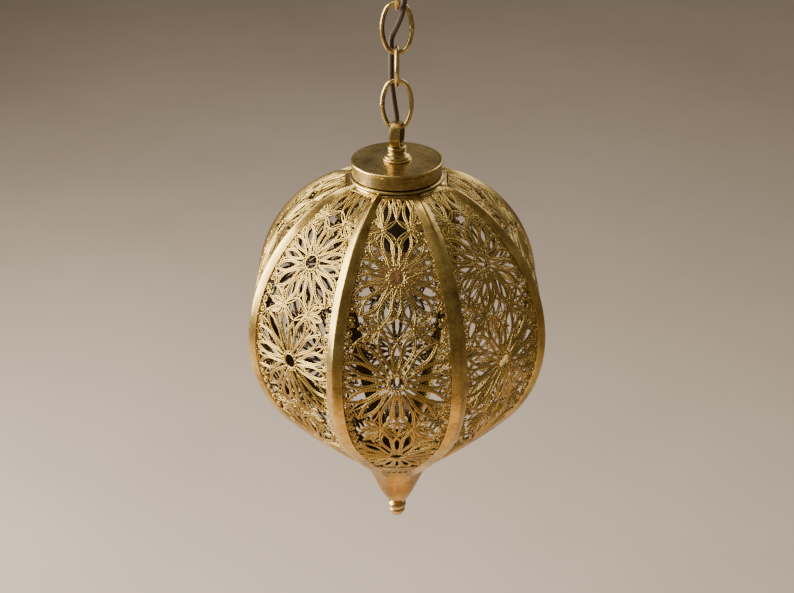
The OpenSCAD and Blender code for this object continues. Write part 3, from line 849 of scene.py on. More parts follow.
@dataclass(frozen=True)
class Bow:
    """The meridian of the globe at a rib's crest: two bows and a slow taper."""

    equator_z: float
    radius: float = 120 * MM
    upper_extra: float = 5.3 * MM
    lower_less: float = 10.1 * MM
    belly: float = math.radians(42)
    taper: float = math.radians(9.85)
    taper_r: float = 493 * MM
    proud: float = 2.1 * MM
    ring_r: float = 34.6 * MM
    ring_z: float = 115.5 * MM
    top_share: float = 0.25
    foot_share: float = 0.12
    flank: Sequence[tuple[float, float]] = (
        (26.8, -134.6), (24.0, -138.6), (21.6, -143), (19.5, -147.5), (17.6, -152), (15.8, -156.2),
        (14.0, -160), (12.3, -163.3), (11.0, -165.8), (10.2, -167.4), (9.3, -168.7), (7.8, -169.7),
        (5.6, -170.1))

    def point(self, turn: float, depth: float = 0.0) -> tuple[float, float, float]:
        """A point of the bow, a depth inside the crest.

        Args:
            turn: Angle above the equator, negative below it.
            depth: Distance inwards along the normal.

        Returns:
            Radius, height and the normal's elevation.
        """
        if turn >= 0:
            base, reach = (-self.upper_extra, 0.0), self.radius + self.upper_extra
        elif -turn <= self.belly:
            base, reach = (self.lower_less, 0.0), self.radius - self.lower_less
        else:
            short = self.radius - self.lower_less - self.taper_r
            base = (self.lower_less + short * math.cos(self.belly), -short * math.sin(self.belly))
            reach = self.taper_r
        r = base[0] + (reach - depth) * math.cos(turn)
        z = base[1] + (reach - depth) * math.sin(turn)
        return r, self.equator_z + z, turn

    def crest(self, count: int = 120, tail: bool = False) -> np.ndarray:
        """Rows of (radius, height, turn, share) from the bead ring down.

        Args:
            count: Rows on the two main bows.
            tail: Whether to go on down the tail.

        Returns:
            The rows; share is how proud a rib stands there, 1 on the bows and less at the ends.
        """
        blend = math.radians(61)
        start = np.array(self.point(blend)[:2])
        end = np.array([self.ring_r, self.equator_z + self.ring_z])
        way = np.array([-math.sin(blend), math.cos(blend)])
        reach = np.linalg.norm(end - start) * 0.42
        handles = (end, end + reach * np.array([0.99, -0.14]), start + reach * way, start)
        rows = []
        for t in np.linspace(0, 1, max(14, count // 7), endpoint=False):
            u = 1 - t
            at = (
                u**3 * handles[0]
                + 3 * u * u * t * handles[1]
                + 3 * u * t * t * handles[2]
                + t**3 * handles[3]
            )
            run = (
                3 * u * u * (handles[1] - handles[0])
                + 6 * u * t * (handles[2] - handles[1])
                + 3 * t * t * (handles[3] - handles[2])
            )
            share = self.top_share + (1 - self.top_share) * min(1.0, t / 0.7) ** 0.8
            rows.append((at[0], at[1], math.atan2(run[0], -run[1]), share))
        rows += [(*self.point(t), 1.0) for t in np.linspace(blend, -self.belly, count, endpoint=False)]
        last = max(10, count // 5)
        rows += [(*self.point(t), 1.0) for t in np.linspace(-self.belly, -self.belly - self.taper, last)]
        if tail:
            rows += self.flank_rows()
        return np.array(rows)

    def flank_rows(self) -> list[tuple[float, float, float, float]]:
        """Rows of the tail below the bows, down to its rounded foot."""
        line = np.array([self.point(-self.belly - self.taper)[:2]] + [
            (r * MM, self.equator_z + z * MM) for r, z in self.flank])
        run = np.gradient(line, axis=0)
        rows = []
        for k, (r, z) in enumerate(line[1:], 1):
            share = 1 - (1 - self.foot_share) * min(1.0, k / 4)
            rows.append((r, z, math.atan2(run[k][0], -run[k][1]), share))
        return rows

    def inside(self, count: int, depth: float, tail: bool = False) -> np.ndarray:
        """The crest's rows, moved inwards by a depth that shrinks with the ribs."""
        rows = self.crest(count, tail)
        rows[:, 0] -= depth * rows[:, 3] * np.cos(rows[:, 2])
        rows[:, 1] -= depth * rows[:, 3] * np.sin(rows[:, 2])
        return rows


class PanelSurface:
    """The unrolled surface of one panel: u across, s along the middle line, up from the equator."""

    bulge: float = 1.7 * MM

    def __init__(self, bow: Bow) -> None:
        """Measure the middle line once."""
        rows = bow.inside(260, bow.proud)
        squash = math.cos(HALF_SECTOR)
        self.r = rows[:, 0] * squash
        self.z = rows[:, 1]
        step = np.hypot(np.diff(self.r), np.diff(self.z))
        s = np.concatenate([[0], np.cumsum(step)])
        level = np.interp(-bow.equator_z, -self.z, s)
        self.s = level - s
        self.half = rows[:, 0] * math.sin(HALF_SECTOR)
        slope_r = np.gradient(self.r, self.s)
        slope_z = np.gradient(self.z, self.s)
        self.out = np.stack([slope_z, -slope_r], 1)
        self.out /= np.linalg.norm(self.out, axis=1)[:, None]

    def _read(self, s: np.ndarray, values: np.ndarray) -> np.ndarray:
        """Read a measured row at places along the middle line."""
        return np.interp(-s, -self.s, values)

    def edge(self, s: np.ndarray, cover: float) -> np.ndarray:
        """Half the width that shows between two ribs."""
        return self._read(s, self.half) - cover

    def lift(self, points: np.ndarray) -> np.ndarray:
        """Put points (u, s, height) on the front panel."""
        s = points[:, 1]
        r, z = self._read(s, self.r), self._read(s, self.z)
        out_r, out_z = self._read(s, self.out[:, 0]), self._read(s, self.out[:, 1])
        across = points[:, 0] / np.maximum(self._read(s, self.half), 1 * MM)
        high = points[:, 2] + self.bulge * np.clip(1 - across**2, 0, 1)
        return np.stack([points[:, 0], -(r + out_r * high), z + out_z * high], 1)


@dataclass
class Rosette:
    """A large flower: petals from a beaded eye to points named one side at a time."""

    centre: float
    above: float
    below: float
    side: list[tuple[float, float]]
    eye: float = 5.6


@dataclass
class Filigree:
    """The eight openwork panels, drawn once in millimetres on the unrolled front panel."""

    surface: PanelSurface
    grower: Grower
    wire_r: float = 0.78 * MM
    ring_step: float = 0.95 * MM
    twist: float = 0.26
    cover: float = 5.3
    hug: float = 1.25
    rosettes: list[Rosette] = field(default_factory=lambda: [
        Rosette(79.6, 106, 51.5, [
            (9.4, 113.2), (19.5, 105.5), (26.5, 93.5), (29.3, 79.6), (32, 65.5), (26.5, 53), (12.2, 45.6)]),
        Rosette(3.6, 34.2, -31.4, [
            (12.2, 42.4), (29, 34.5), (37.5, 19.5), (39, 3.6), (37.6, -13.5), (28, -28.5), (11.4, -38.4)]),
        Rosette(-84.3, -49, -119, [
            (11.4, -41.8), (27, -57.5), (30.5, -72.5), (27.6, -86), (23, -98.5), (17, -109.5), (9, -118)]),
    ])
    flowers: list[tuple[float, float, float]] = field(default_factory=lambda: [
        (9.4, 114.5, 8.2), (12.2, 44.0, 8.6), (11.4, -40.0, 8.4)])

    def __post_init__(self) -> None:
        """Draw the pattern."""
        self.wires = Wires()
        self.grains: list[tuple[float, float, float]] = []
        for rosette in self.rosettes:
            self.rosette(rosette)
        for reach, level, rise in self.flowers:
            self.flower_pair(reach, level, rise)
        self.crown()
        self.foot()
        self.scrolls()
        self.border()

    def trim(self, points: np.ndarray, inset: float = 0.4) -> np.ndarray:
        """Keep points between the ribs and between the panel's ends."""
        kept = points.copy()
        limit = self.surface.edge(kept[:, 1] * MM, 0) / MM - self.cover + inset
        kept[:, 0] = np.clip(kept[:, 0], -limit, limit)
        return kept

    def wire(self, points: np.ndarray, gauge: float = 1.0, closed: bool = False, height: float = 0.0) -> None:
        """Add one wire in millimetres."""
        flat = self.trim(np.asarray(points, float))
        self.wires.add(np.column_stack([flat, np.full(len(flat), height)]) * MM, gauge, closed)

    def grain(self, place: Sequence[float], gauge: float = 1.0) -> None:
        """Add one bead."""
        self.grains.append((place[0], place[1], gauge))

    def lens(self, start: Sequence[float], end: Sequence[float], width: float, gauge: float = 1.0,
             double: bool = False, height: float = 0.0, belly: float = 1.0) -> None:
        """Two arcs between two points, and a second pair that hugs them inside.

        Args:
            start: The inner point.
            end: The tip.
            width: Widest gap between the arcs.
            gauge: Wire thickness.
            double: Whether to add the second pair.
            height: Lift off the panel in millimetres.
            belly: Above 1 moves the widest place towards the tip.
        """
        a, b = np.array(start, float), np.array(end, float)
        along = b - a
        side = np.array([-along[1], along[0]]) / max(np.linalg.norm(along), 1e-6)
        t = np.linspace(0, 1, 17)
        swell = np.sin(math.pi * t**belly)
        for sign in (-1, 1):
            arc = a + along * t[:, None] + side * (sign * width / 2 * swell)[:, None]
            self.wire(arc, gauge, height=height)
        if double and width > 2 * self.hug:
            self.lens(a + along * 0.13, a + along * 0.91, width - 2 * self.hug, gauge * 0.86,
                      height=height - 0.2, belly=belly)

    def circle(self, centre: Sequence[float], radius: float, gauge: float = 1.0, height: float = 0.0) -> None:
        """A closed ring of wire."""
        turn = np.linspace(0, math.tau, 20, endpoint=False)
        ring = np.array(centre) + radius * np.stack([np.cos(turn), np.sin(turn)], 1)
        self.wire(ring, gauge, closed=True, height=height)

    def scroll(self, centre: Sequence[float], radius: float, start: float, turns: float = 1.35) -> None:
        """A curl that winds in to a grain."""
        t = np.linspace(0, 1, 22)
        angle = start + t * turns * math.tau
        shrink = radius * (1 - 0.78 * t)
        self.wire(np.array(centre) + np.stack([np.cos(angle), np.sin(angle)], 1) * shrink[:, None], 0.85)
        self.grain(centre, 1.15)

    def rosette(self, plan: Rosette) -> None:
        """Petals, the kites between their tips, the eye and its beads."""
        centre = np.array([0.0, plan.centre])
        tips = [np.array([0.0, plan.above])]
        tips += [np.array(p, float) for p in plan.side]
        tips += [np.array([0.0, plan.below])]
        tips += [np.array([-p[0], p[1]], float) for p in reversed(plan.side)]
        count = len(tips)
        for i, tip in enumerate(tips):
            ray = tip - centre
            reach = np.linalg.norm(ray)
            ray = ray / reach
            self.lens(centre + ray * 7.4, tip, min(9.2, 0.245 * reach), 1.0, True, 0.1, 1.3)
            following = tips[(i + 1) % count] - centre
            between = ray + following / np.linalg.norm(following)
            between /= np.linalg.norm(between)
            short = min(reach, np.linalg.norm(following))
            self.lens(centre + between * (0.62 * short), centre + between * (1.0 * short), 0.085 * short, 0.8,
                      height=-0.25)
            if abs(tip[0]) + abs(following[0]) > 40:
                self.lens(tip, tips[(i + 1) % count], 2.6, 0.75, height=-0.3)
        self.circle(centre, plan.eye, 1.1, 0.1)
        self.circle(centre, plan.eye + 2.0, 0.85, -0.1)
        for k in range(16):
            turn = (k + 0.5) * math.tau / 16
            self.grain(centre + (plan.eye + 1.0) * np.array([math.cos(turn), math.sin(turn)]), 1.0)

    def flower_pair(self, reach: float, level: float, rise: float) -> None:
        """Two small six-petalled flowers with a diamond between them.

        Args:
            reach: Distance of each heart from the middle line.
            level: Height of the hearts.
            rise: Half the diamond's height on the middle line.
        """
        for side in (-1, 1):
            heart = np.array([side * reach, level])
            self.circle(heart, 1.5, 0.9, 0.15)
            self.grain(heart, 1.2)
            for up in (-1, 1):
                self.lens(heart, (0, level + up * rise), 2.3, 0.95, height=0.15)
            for lean in (-38, 0, 38):
                turn = math.radians(lean)
                ray = np.array([side * math.cos(turn), math.sin(turn)])
                self.lens(heart + ray * 2, heart + ray * 15.5, 5.2, 0.9, True)
            for lean in (-62, 62):
                turn = math.radians(lean)
                ray = np.array([side * math.cos(turn), math.sin(turn)])
                self.lens(heart + ray * 2, heart + ray * 11, 3.0, 0.8)

    def crown(self) -> None:
        """Petals and crossed wires under the shoulder."""
        for side in (-1, 1):
            self.lens((side * 9.4, 116), (side * 6.2, 141.5), 7.0, 1.0, True)
            self.lens((side * 10.4, 116), (side * 13.2, 139), 3.8, 0.9, True)
            self.lens((0, 123), (side * 3.0, 142), 1.8, 0.95)
            self.lens((side * 3.4, 133), (side * 0.6, 142), 2.2, 0.8)
            self.lens((side * 11.0, 131), (side * 8.6, 142), 2.4, 0.8)
            self.scroll((side * 17.0, 121), 2.6, 0.8 * side)

    def foot(self) -> None:
        """Short rays and rings below the lowest rosette."""
        for k, (u, s) in enumerate(((0, -145), (4.5, -145), (9, -143), (12.5, -137), (15, -127))):
            for side in (-1, 1) if u else (1,):
                self.lens((side * u * 0.62, -121 - k * 0.4), (side * u, s), 3.6, 0.85, True)
        self.lens((0, -33.5), (0, -46.5), 5.6, 0.9, True)
        for side in (-1, 1):
            self.lens((side * 2.2, -40), (side * 8.6, -40), 3.0, 0.8)
            self.lens((side * 14, -45), (side * 25, -54.5), 4.4, 0.85, True)
            self.lens((side * 10, -47), (side * 17.5, -56), 3.4, 0.8)
            self.lens((side * 19, -40.5), (side * 28.5, -46), 3.6, 0.8)
            self.circle((side * 4.2, -126), 1.8, 0.75)
            self.circle((side * 2.4, -133.5), 1.5, 0.75)

    def scrolls(self) -> None:
        """Curls and small rings along the ribs, where the rosettes leave room."""
        for level in (112, 99, 58, 50, 41, 33, 26, -21, -29, -37, -46, -54):
            edge = float(self.surface.edge(np.array([level * MM]), 0)[0]) / MM - self.cover
            for side in (-1, 1):
                self.scroll((side * (edge - 3.4), level), 3.0, math.pi * (0.5 + side * 0.5) + level)
        for k, level in enumerate(np.arange(-136, 132, 6.2)):
            edge = float(self.surface.edge(np.array([level * MM]), 0)[0]) / MM - self.cover
            lean = 4.6 if k % 2 else -4.6
            for side in (-1, 1):
                root = (side * (edge + 0.2), level)
                self.lens(root, (side * (edge - 6.4), level + lean), 2.9, 0.85, height=-0.5)
        for level in (89, 73, 12, -5, -64, -79, -92, -104):
            edge = float(self.surface.edge(np.array([level * MM]), 0)[0]) / MM - self.cover
            for side in (-1, 1):
                self.circle((side * (edge - 1.6), level), 1.5, 0.75)
                self.grain((side * (edge - 1.6), level + 3.2), 0.9)

    def border(self) -> None:
        """Wires along both ribs."""
        levels = np.linspace(142, -147, 150)
        edge = self.surface.edge(levels * MM, 0) / MM - self.cover
        for side in (-1, 1):
            self.wire(np.stack([side * (edge + 0.1), levels], 1), 1.0)
        for level in (142, -147):
            half = float(self.surface.edge(np.array([level * MM]), 0)[0]) / MM - self.cover
            self.wire(np.stack([np.linspace(-half, half, 16), np.full(16, level)], 1), 1.0)

    def build(self) -> None:
        """Grow the panel once and set a copy in every sector."""
        below = -0.7 * MM

        def place(path: Path) -> Path:
            """Lay a path on the panel, a little below its surface."""
            return self.surface.lift(path + np.array([0, 0, below]))

        wires = self.grower.wire(
            self.wires.mesh("filigree_wires", place), self.wire_r, self.ring_step, self.twist, 5, WIRE_BRASS)
        seeds = bpy.data.meshes.new("grain_seeds")
        dots = np.array([(u, s, 0.35) for u, s, _ in self.grains])
        dots[:, :2] = self.trim(dots[:, :2])
        seeds.from_pydata(place(dots * MM).tolist(), [], [])
        gauges = [g for _, _, g in self.grains]
        seeds.attributes.new("gauge", "FLOAT", "POINT").data.foreach_set("value", gauges)
        beads = self.grower.beads(seeds, 0.85 * MM, WIRE_BRASS)
        panel = joined("filigree_1", [wires, beads])
        for sector in range(SECTORS):
            name = f"filigree_{sector + 1}"
            mesh = panel if sector == 0 else spun(panel, name, sector)
            settle(link_object(name, mesh), Body.GLOBE, None, Slot.FILIGREE, f"filigree_panel_{sector + 1}")


@dataclass
class RibCage:
    """Ribs, shoulder and tail: the plain polished metal of the globe.

    Heights are distances from the equator. The rib is cut short by its spare rows and sinks under
    the tail; the tail starts hidden behind the filigree, emerges over the rib ends and turns round.
    """

    bow: Bow
    surface: PanelSurface
    rib_half: float = 6.0 * MM
    edge: float = 0.75 * MM
    crest_round: float = 0.24
    spare_rows: int = 9
    sink_below: float = 136 * MM
    sink: float = 0.5 * MM
    band_above: float = 113.3 * MM
    tail_top: float = 126.5 * MM
    emerge_top: float = 130.0 * MM
    emerge_height: float = 7.5 * MM
    hidden_depth: float = 0.4 * MM
    shown_proud: float = 0.12 * MM
    round_top: float = 138 * MM
    round_height: float = 22 * MM

    def section(self) -> np.ndarray:
        """Section of a rib, (out, across): a roof with a soft crest and turned-down edges."""
        slope = math.tan(HALF_SECTOR)
        across = np.linspace(-1, 1, 29)
        foot = -self.rib_half * slope
        rise = self.bow.proud - foot - self.edge
        crown = 1 - np.sqrt(across**2 + self.crest_round**2) + self.crest_round
        top = np.stack([foot + self.edge + rise * crown / crown.max(), across * self.rib_half], 1)
        under = [
            (foot - 0.2 * MM, 0.98 * self.rib_half),
            (-0.8 * MM, 0.0),
            (foot - 0.2 * MM, -0.98 * self.rib_half),
        ]
        return np.concatenate([top, np.array(under)])

    def rib(self) -> bpy.types.Mesh:
        """One rib, swept down the bow at the front and carried into the tail."""
        rows = self.bow.crest(110, tail=True)[:-self.spare_rows]
        section = self.section()
        rings = []
        for r, z, turn, share in rows:
            sink = self.sink if z < self.bow.equator_z - self.sink_below else 0.0
            out = (section[:, 0] - self.bow.proud) * share - sink
            across = section[:, 1] * (0.30 + 0.70 * share)
            rings.append(np.stack([across, -(r + out * math.cos(turn)), z + out * math.sin(turn)], 1))
        mesh = grid_mesh("rib_strip", np.array(rings), False, True)
        total = len(rows) * len(section)
        ends = [tuple(range(len(section))), tuple(range(total - len(section), total))]
        self.cap(mesh, ends)
        clean(mesh)
        shade(mesh, 50)
        return mesh

    @staticmethod
    def cap(mesh: bpy.types.Mesh, rings: Sequence[tuple[int, ...]]) -> None:
        """Close open ends, triangulated.

        Args:
            mesh: The open mesh.
            rings: Vertex numbers round each opening.
        """
        work = bmesh.new()
        work.from_mesh(mesh)
        work.verts.ensure_lookup_table()
        for ring in rings:
            work.faces.new([work.verts[i] for i in ring])
        bmesh.ops.triangulate(work, faces=[f for f in work.faces if len(f.verts) > 4])
        work.to_mesh(mesh)
        work.free()

    def octagon(self, angle: np.ndarray, share: np.ndarray | float) -> np.ndarray:
        """Radius factor of a soft octagon with its corners on the ribs; share 0 is a circle."""
        local = (angle + HALF_SECTOR) % SECTOR - HALF_SECTOR
        flat = math.cos(HALF_SECTOR) / np.cos(local)
        soft = 1 - 0.06 * HALF_SECTOR * np.exp(-((np.abs(local) - HALF_SECTOR) ** 2) / 0.0035)
        return 1 + (flat * soft - 1) * share

    def shell(self, name: str, rows: Sequence[tuple[float, float, float]], wall: float) -> bpy.types.Mesh:
        """A thin shell lofted through soft octagons.

        Args:
            name: The mesh's name.
            rows: (radius at the ribs, height, octagon share) from the top down.
            wall: Its thickness.

        Returns:
            The closed shell.
        """
        angle = np.linspace(0, math.tau, 192, endpoint=False)
        rings = []
        for r, z, share in rows:
            radius = r * self.octagon(angle, share)
            height = np.full_like(angle, z)
            rings.append(np.stack([radius * np.sin(angle), -radius * np.cos(angle), height], 1))
        outer = np.array(rings)
        tangent = np.gradient(outer, axis=0)
        around = np.gradient(outer, axis=1)
        normal = np.cross(around, tangent)
        normal /= np.maximum(np.linalg.norm(normal, axis=2, keepdims=True), 1e-9)
        if (normal[:, :, :2] * outer[:, :, :2]).sum() < 0:
            normal = -normal
        inner = outer - normal * wall
        mesh = grid_mesh(name, np.concatenate([outer, inner[::-1]]), True, True)
        clean(mesh)
        shade(mesh, 45)
        return mesh

    def shoulder(self) -> bpy.types.Mesh:
        """Plain band between the windows and the bead ring, with the upright spigot inside it."""
        rows = self.bow.inside(120, self.bow.proud - 0.1 * MM)
        rows = [row for row in rows if row[1] > self.bow.equator_z + self.band_above]
        count = len(rows)
        band = [(row[0], row[1], min(1.0, k / (0.45 * count))) for k, row in enumerate(rows)]
        zero = self.bow.equator_z / MM
        spigot = lathe("spigot", [
            (29.6, zero + 111.2, 0.2), (31.0, zero + 111.2, 0.2), (35.0, zero + 113.2, 0.2),
            (35.0, zero + 114.4, 0.2), (31.0, zero + 114.4, 0.2), (31.0, zero + 125.2, 0.3),
            (29.6, zero + 125.2, 0.3)], 128)
        plate = self.shell("shoulder_band", band, 1.0 * MM)
        for mesh in (plate, spigot):
            mesh.materials.append(RIB_BRASS.material())
        whole = joined("shoulder_plate", [plate, spigot])
        shade(whole, 40)
        return whole

    def tail(self) -> bpy.types.Mesh:
        """Concave cone that starts behind the filigree and comes out over the ends of the ribs."""
        crest = self.bow.crest(120, tail=True)
        zero = self.bow.equator_z
        rows = []
        for r, z, turn, _ in crest:
            if z > zero - self.tail_top:
                continue
            out = min(1.0, max(0.0, (zero - self.emerge_top - z) / self.emerge_height))
            out = out * out * (3 - 2 * out)
            depth = (self.bow.proud + self.hidden_depth) * (1 - out) - self.shown_proud * out
            eight = 1 - min(1.0, max(0.0, (zero - self.round_top - z) / self.round_height))
            rows.append((r - depth * math.cos(turn), z - depth * math.sin(turn), eight))
        return self.shell("tail_shell", rows, 1.2 * MM)

    def build(self) -> None:
        """Make the eight ribs, the shoulder and the tail."""
        strip = self.rib()
        for sector in range(SECTORS):
            name = f"rib_strip_{sector + 1}"
            piece = link_object(name, spun(strip, name, sector + 0.5))
            settle(piece, Body.GLOBE, RIB_BRASS, Slot.RIB, f"rib_{sector + 1}")
        settle(link_object("shoulder_plate", self.shoulder()), Body.GLOBE, None, Slot.BRASS, "top_collar")
        settle(link_object("tail_shell", self.tail()), Body.GLOBE, FOOT_BRASS, Slot.BRASS, "tail_cone")


# ------------------------------------------------------------------------------ turned pieces


@dataclass
class TurnedPieces:
    """Cap, bead ring, neck and knob, turned on the lathe; heights are over the equator."""

    equator_z: float

    def raised(self, outline: Iterable[tuple[float, float, float]]) -> list[tuple[float, float, float]]:
        """Lift an outline from the equator to its place, in millimetres."""
        zero = self.equator_z / MM
        return [(r, z + zero, corner) for r, z, corner in outline]

    def cap(self) -> bpy.types.Mesh:
        """Slightly dished top, rolled rim that overhangs, and a plain skirt."""
        return lathe("cap_turned", self.raised([
            (5.2, 128.4, 0), (5.2, 130.0, 0), (22, 130.05, 4), (31.4, 130.0, 1.2), (32.2, 130.25, 0.5),
            (33.6, 130.15, 0.9), (34.3, 129.2, 0.9), (34.0, 127.9, 0.7), (33.0, 127.4, 0.4),
            (33.1, 126.2, 0.5),
            (33.5, 119.6, 0.4), (33.5, 118.9, 0.2), (32.2, 118.9, 0.2), (31.6, 127.6, 1.2)]), 160)

    def bead(self) -> bpy.types.Mesh:
        """Bright half-round ring under the skirt."""
        return lathe("bead_ring_turned", self.raised([
            (31.2, 118.3, 0.3), (31.2, 115.3, 0.3), (33.6, 115.2, 0.6), (34.9, 115.8, 0.9),
            (34.9, 117.1, 0.9),
            (33.6, 117.9, 0.8)]), 160)

    def neck(self) -> bpy.types.Mesh:
        """Foot, step, bell, waist and collar."""
        return lathe("neck_turned", self.raised([
            (3.1, 137.8, 0.2), (3.1, 130.15, 0.2), (10.3, 130.15, 0.3), (10.9, 130.8, 0.5),
            (10.5, 131.6, 0.5),
            (9.4, 131.8, 0.2), (9.3, 132.2, 0.2), (9.7, 132.6, 0.4), (9.0, 133.3, 0.5), (7.4, 134.2, 1.0),
            (6.2, 135.5, 0.8), (5.6, 136.0, 0.2), (5.7, 136.3, 0.2), (6.9, 136.7, 0.4), (6.9, 137.3, 0.4),
            (5.9, 137.75, 0.1)]), 96)

    def knob(self) -> bpy.types.Mesh:
        """Neck rings, the large bead, the smaller tier and its tip."""
        return lathe("knob_turned", self.raised([
            (3.05, -168.6, 0.1), (3.05, -187.0, 0), (0.0, -188.7, 0), (1.5, -188.5, 0.5), (2.9, -187.5, 0.9),
            (4.3, -186.4, 0.6), (5.0, -185.2, 0.7), (4.9, -184.4, 0.2), (6.1, -183.6, 0.9),
            (6.7, -182.1, 1.0),
            (6.4, -180.6, 0.6), (5.9, -180.0, 0.2), (7.0, -178.9, 1.2), (7.5, -176.9, 1.7),
            (7.0, -174.9, 1.4),
            (5.4, -173.7, 0.6), (4.7, -173.3, 0.2), (5.3, -172.7, 0.35), (5.3, -172.2, 0.35),
            (4.6, -171.7, 0.2),
            (5.4, -171.1, 0.4), (5.5, -170.2, 0.2)]), 96)

    def build(self) -> None:
        """Make the four pieces."""
        settle(link_object("cap_turned", self.cap()), Body.HEAD, TURNED_BRASS, Slot.BRASS, "cap")
        bead = link_object("bead_ring_turned", self.bead())
        settle(bead, Body.GLOBE, TURNED_BRASS, Slot.BRASS, "bead_ring")
        settle(link_object("neck_turned", self.neck()), Body.HEAD, TURNED_BRASS, Slot.BRASS, "neck")
        settle(link_object("knob_turned", self.knob()), Body.GLOBE, TURNED_BRASS, Slot.BRASS, "finial")


# ------------------------------------------------------------------------------ chain and cord


@dataclass
class Chain:
    """Five oval links, each bent from round wire and welded on one side."""

    grower: Grower
    wire: float = 3.3 * MM
    end_r: tuple[float, float] = (9.0 * MM, 8.6 * MM)

    def outline(self, tall: bool, height: float, width: float) -> np.ndarray:
        """Centreline of a link in the XZ plane about its own centre.

        Args:
            tall: True for the tall kind of link.
            height: Outer height.
            width: Outer width.

        Returns:
            Points in order round the link.
        """
        a, b = (height - self.wire) / 2, (width - self.wire) / 2
        end = self.end_r[int(tall)]
        lift = a - end
        side = (b * b + lift * lift - end * end) / (2 * (b - end))
        turn = math.atan2(lift, side - b)
        points = []
        for up in (0, 1):
            for t in np.linspace(turn, math.pi - turn, 22, endpoint=False):
                points.append((end * math.cos(t), lift + end * math.sin(t)))
            for t in np.linspace(math.pi - turn, math.pi + turn, 22, endpoint=False):
                points.append((side - b + side * math.cos(t), side * math.sin(t)))
            if up == 0:
                upper = points
                points = []
        lower = [(-x, -z) for x, z in upper]
        return np.array(upper + lower)

    def build(self) -> None:
        """Bend every link where the frame has it."""
        for number in range(1, 6):
            node = f"chain_link_{number}"
            low, high = (np.array(corner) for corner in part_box(node))
            centre, size = (low + high) / 2, high - low
            tall = number % 2 == 1
            loop = self.outline(tall, size[2], LINK_WIDTH)
            weld_side = -1 if number == 1 else 1
            bump = 1 + 0.16 * np.exp(-((loop[:, 1] / (1.3 * MM)) ** 2)) * (loop[:, 0] * weld_side > 0)
            x, y = (loop[:, 0], 0 * loop[:, 0]) if tall else (0 * loop[:, 0], loop[:, 0])
            path = np.stack([x, y, centre[2] + loop[:, 1]], 1)
            wires = Wires()
            wires.add(path, 1.0, True)
            seed = wires.mesh(node + "_seed", lambda p: p)
            seed.attributes["gauge"].data.foreach_set("value", bump)
            mesh = self.grower.wire(seed, self.wire / 2, 0.45 * MM, 0.0, 20, CHAIN_BRASS)
            mesh.name = f"link_bent_{number}"
            settle(link_object(mesh.name, mesh), Body.link(number), None, Slot.CHAIN, node)


@dataclass
class StrapLoop:
    """Flat strap bent into a ring with its ends in a turned boss."""

    name: str
    node: str
    body: Body
    yaw: float
    hole: float = 7.9 * MM
    strap: float = 2.3 * MM
    width: float = 7.7 * MM
    boss: tuple[float, float, float] = (7.0, 3.0, 1.0)
    crown: float = 6.2 * MM

    def build(self) -> None:
        """Sweep the strap's crowned section round the hole."""
        low, high = (np.array(corner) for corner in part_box(self.node))
        outer = self.hole + self.strap
        hangs = self.body is Body.ROSE
        centre_z = low[2] + outer if hangs else high[2] - outer
        section = []
        half = self.width / 2
        for t in np.linspace(-1, 1, 13):
            y = t * half * 0.97
            section.append((self.hole + self.crown - math.sqrt(self.crown**2 - y**2), y))
        for t in np.linspace(1, -1, 13):
            y = t * half
            section.append((self.hole + self.strap - 0.25 * MM * abs(t) ** 4, y * (1 - 0.03 * abs(t) ** 6)))
        section = np.array(section)
        turn = np.linspace(0, math.tau, 96, endpoint=False)
        rows = np.zeros((len(turn), len(section), 3))
        rows[:, :, 0] = section[None, :, 1]
        rows[:, :, 1] = section[None, :, 0] * np.cos(turn)[:, None]
        rows[:, :, 2] = section[None, :, 0] * np.sin(turn)[:, None]
        ring = grid_mesh(self.name, rows, True, True)
        clean(ring)
        ring.transform(Matrix.Rotation(self.yaw, 4, "Z"))
        ring.transform(Matrix.Translation((0, 0, centre_z)))
        shade(ring, 40)
        ring.materials.append(TURNED_BRASS.material())
        radius, height, corner = self.boss
        if hangs:
            base = (centre_z + outer) / MM + 1.0
            span = [(0.0, base - height, 0), (radius - 2.4, base - height, 0.4),
                    (radius, base - height * 0.8, corner), (radius, high[2] / MM, 0.4),
                    (0.0, high[2] / MM, 0)]
        else:
            base = (centre_z - outer) / MM - 0.9
            span = [(0.0, base, 0), (radius, base, 0.5), (radius, base + height * 0.8, corner),
                    (radius - 2.0, base + height, 0.4), (0.0, base + height, 0)]
        boss = lathe(self.name + "_boss", span, 64)
        boss.materials.append(TURNED_BRASS.material())
        mesh = joined(self.name, [ring, boss])
        shade(mesh, 40)
        settle(link_object(self.name, mesh), self.body, None, Slot.BRASS, self.node)


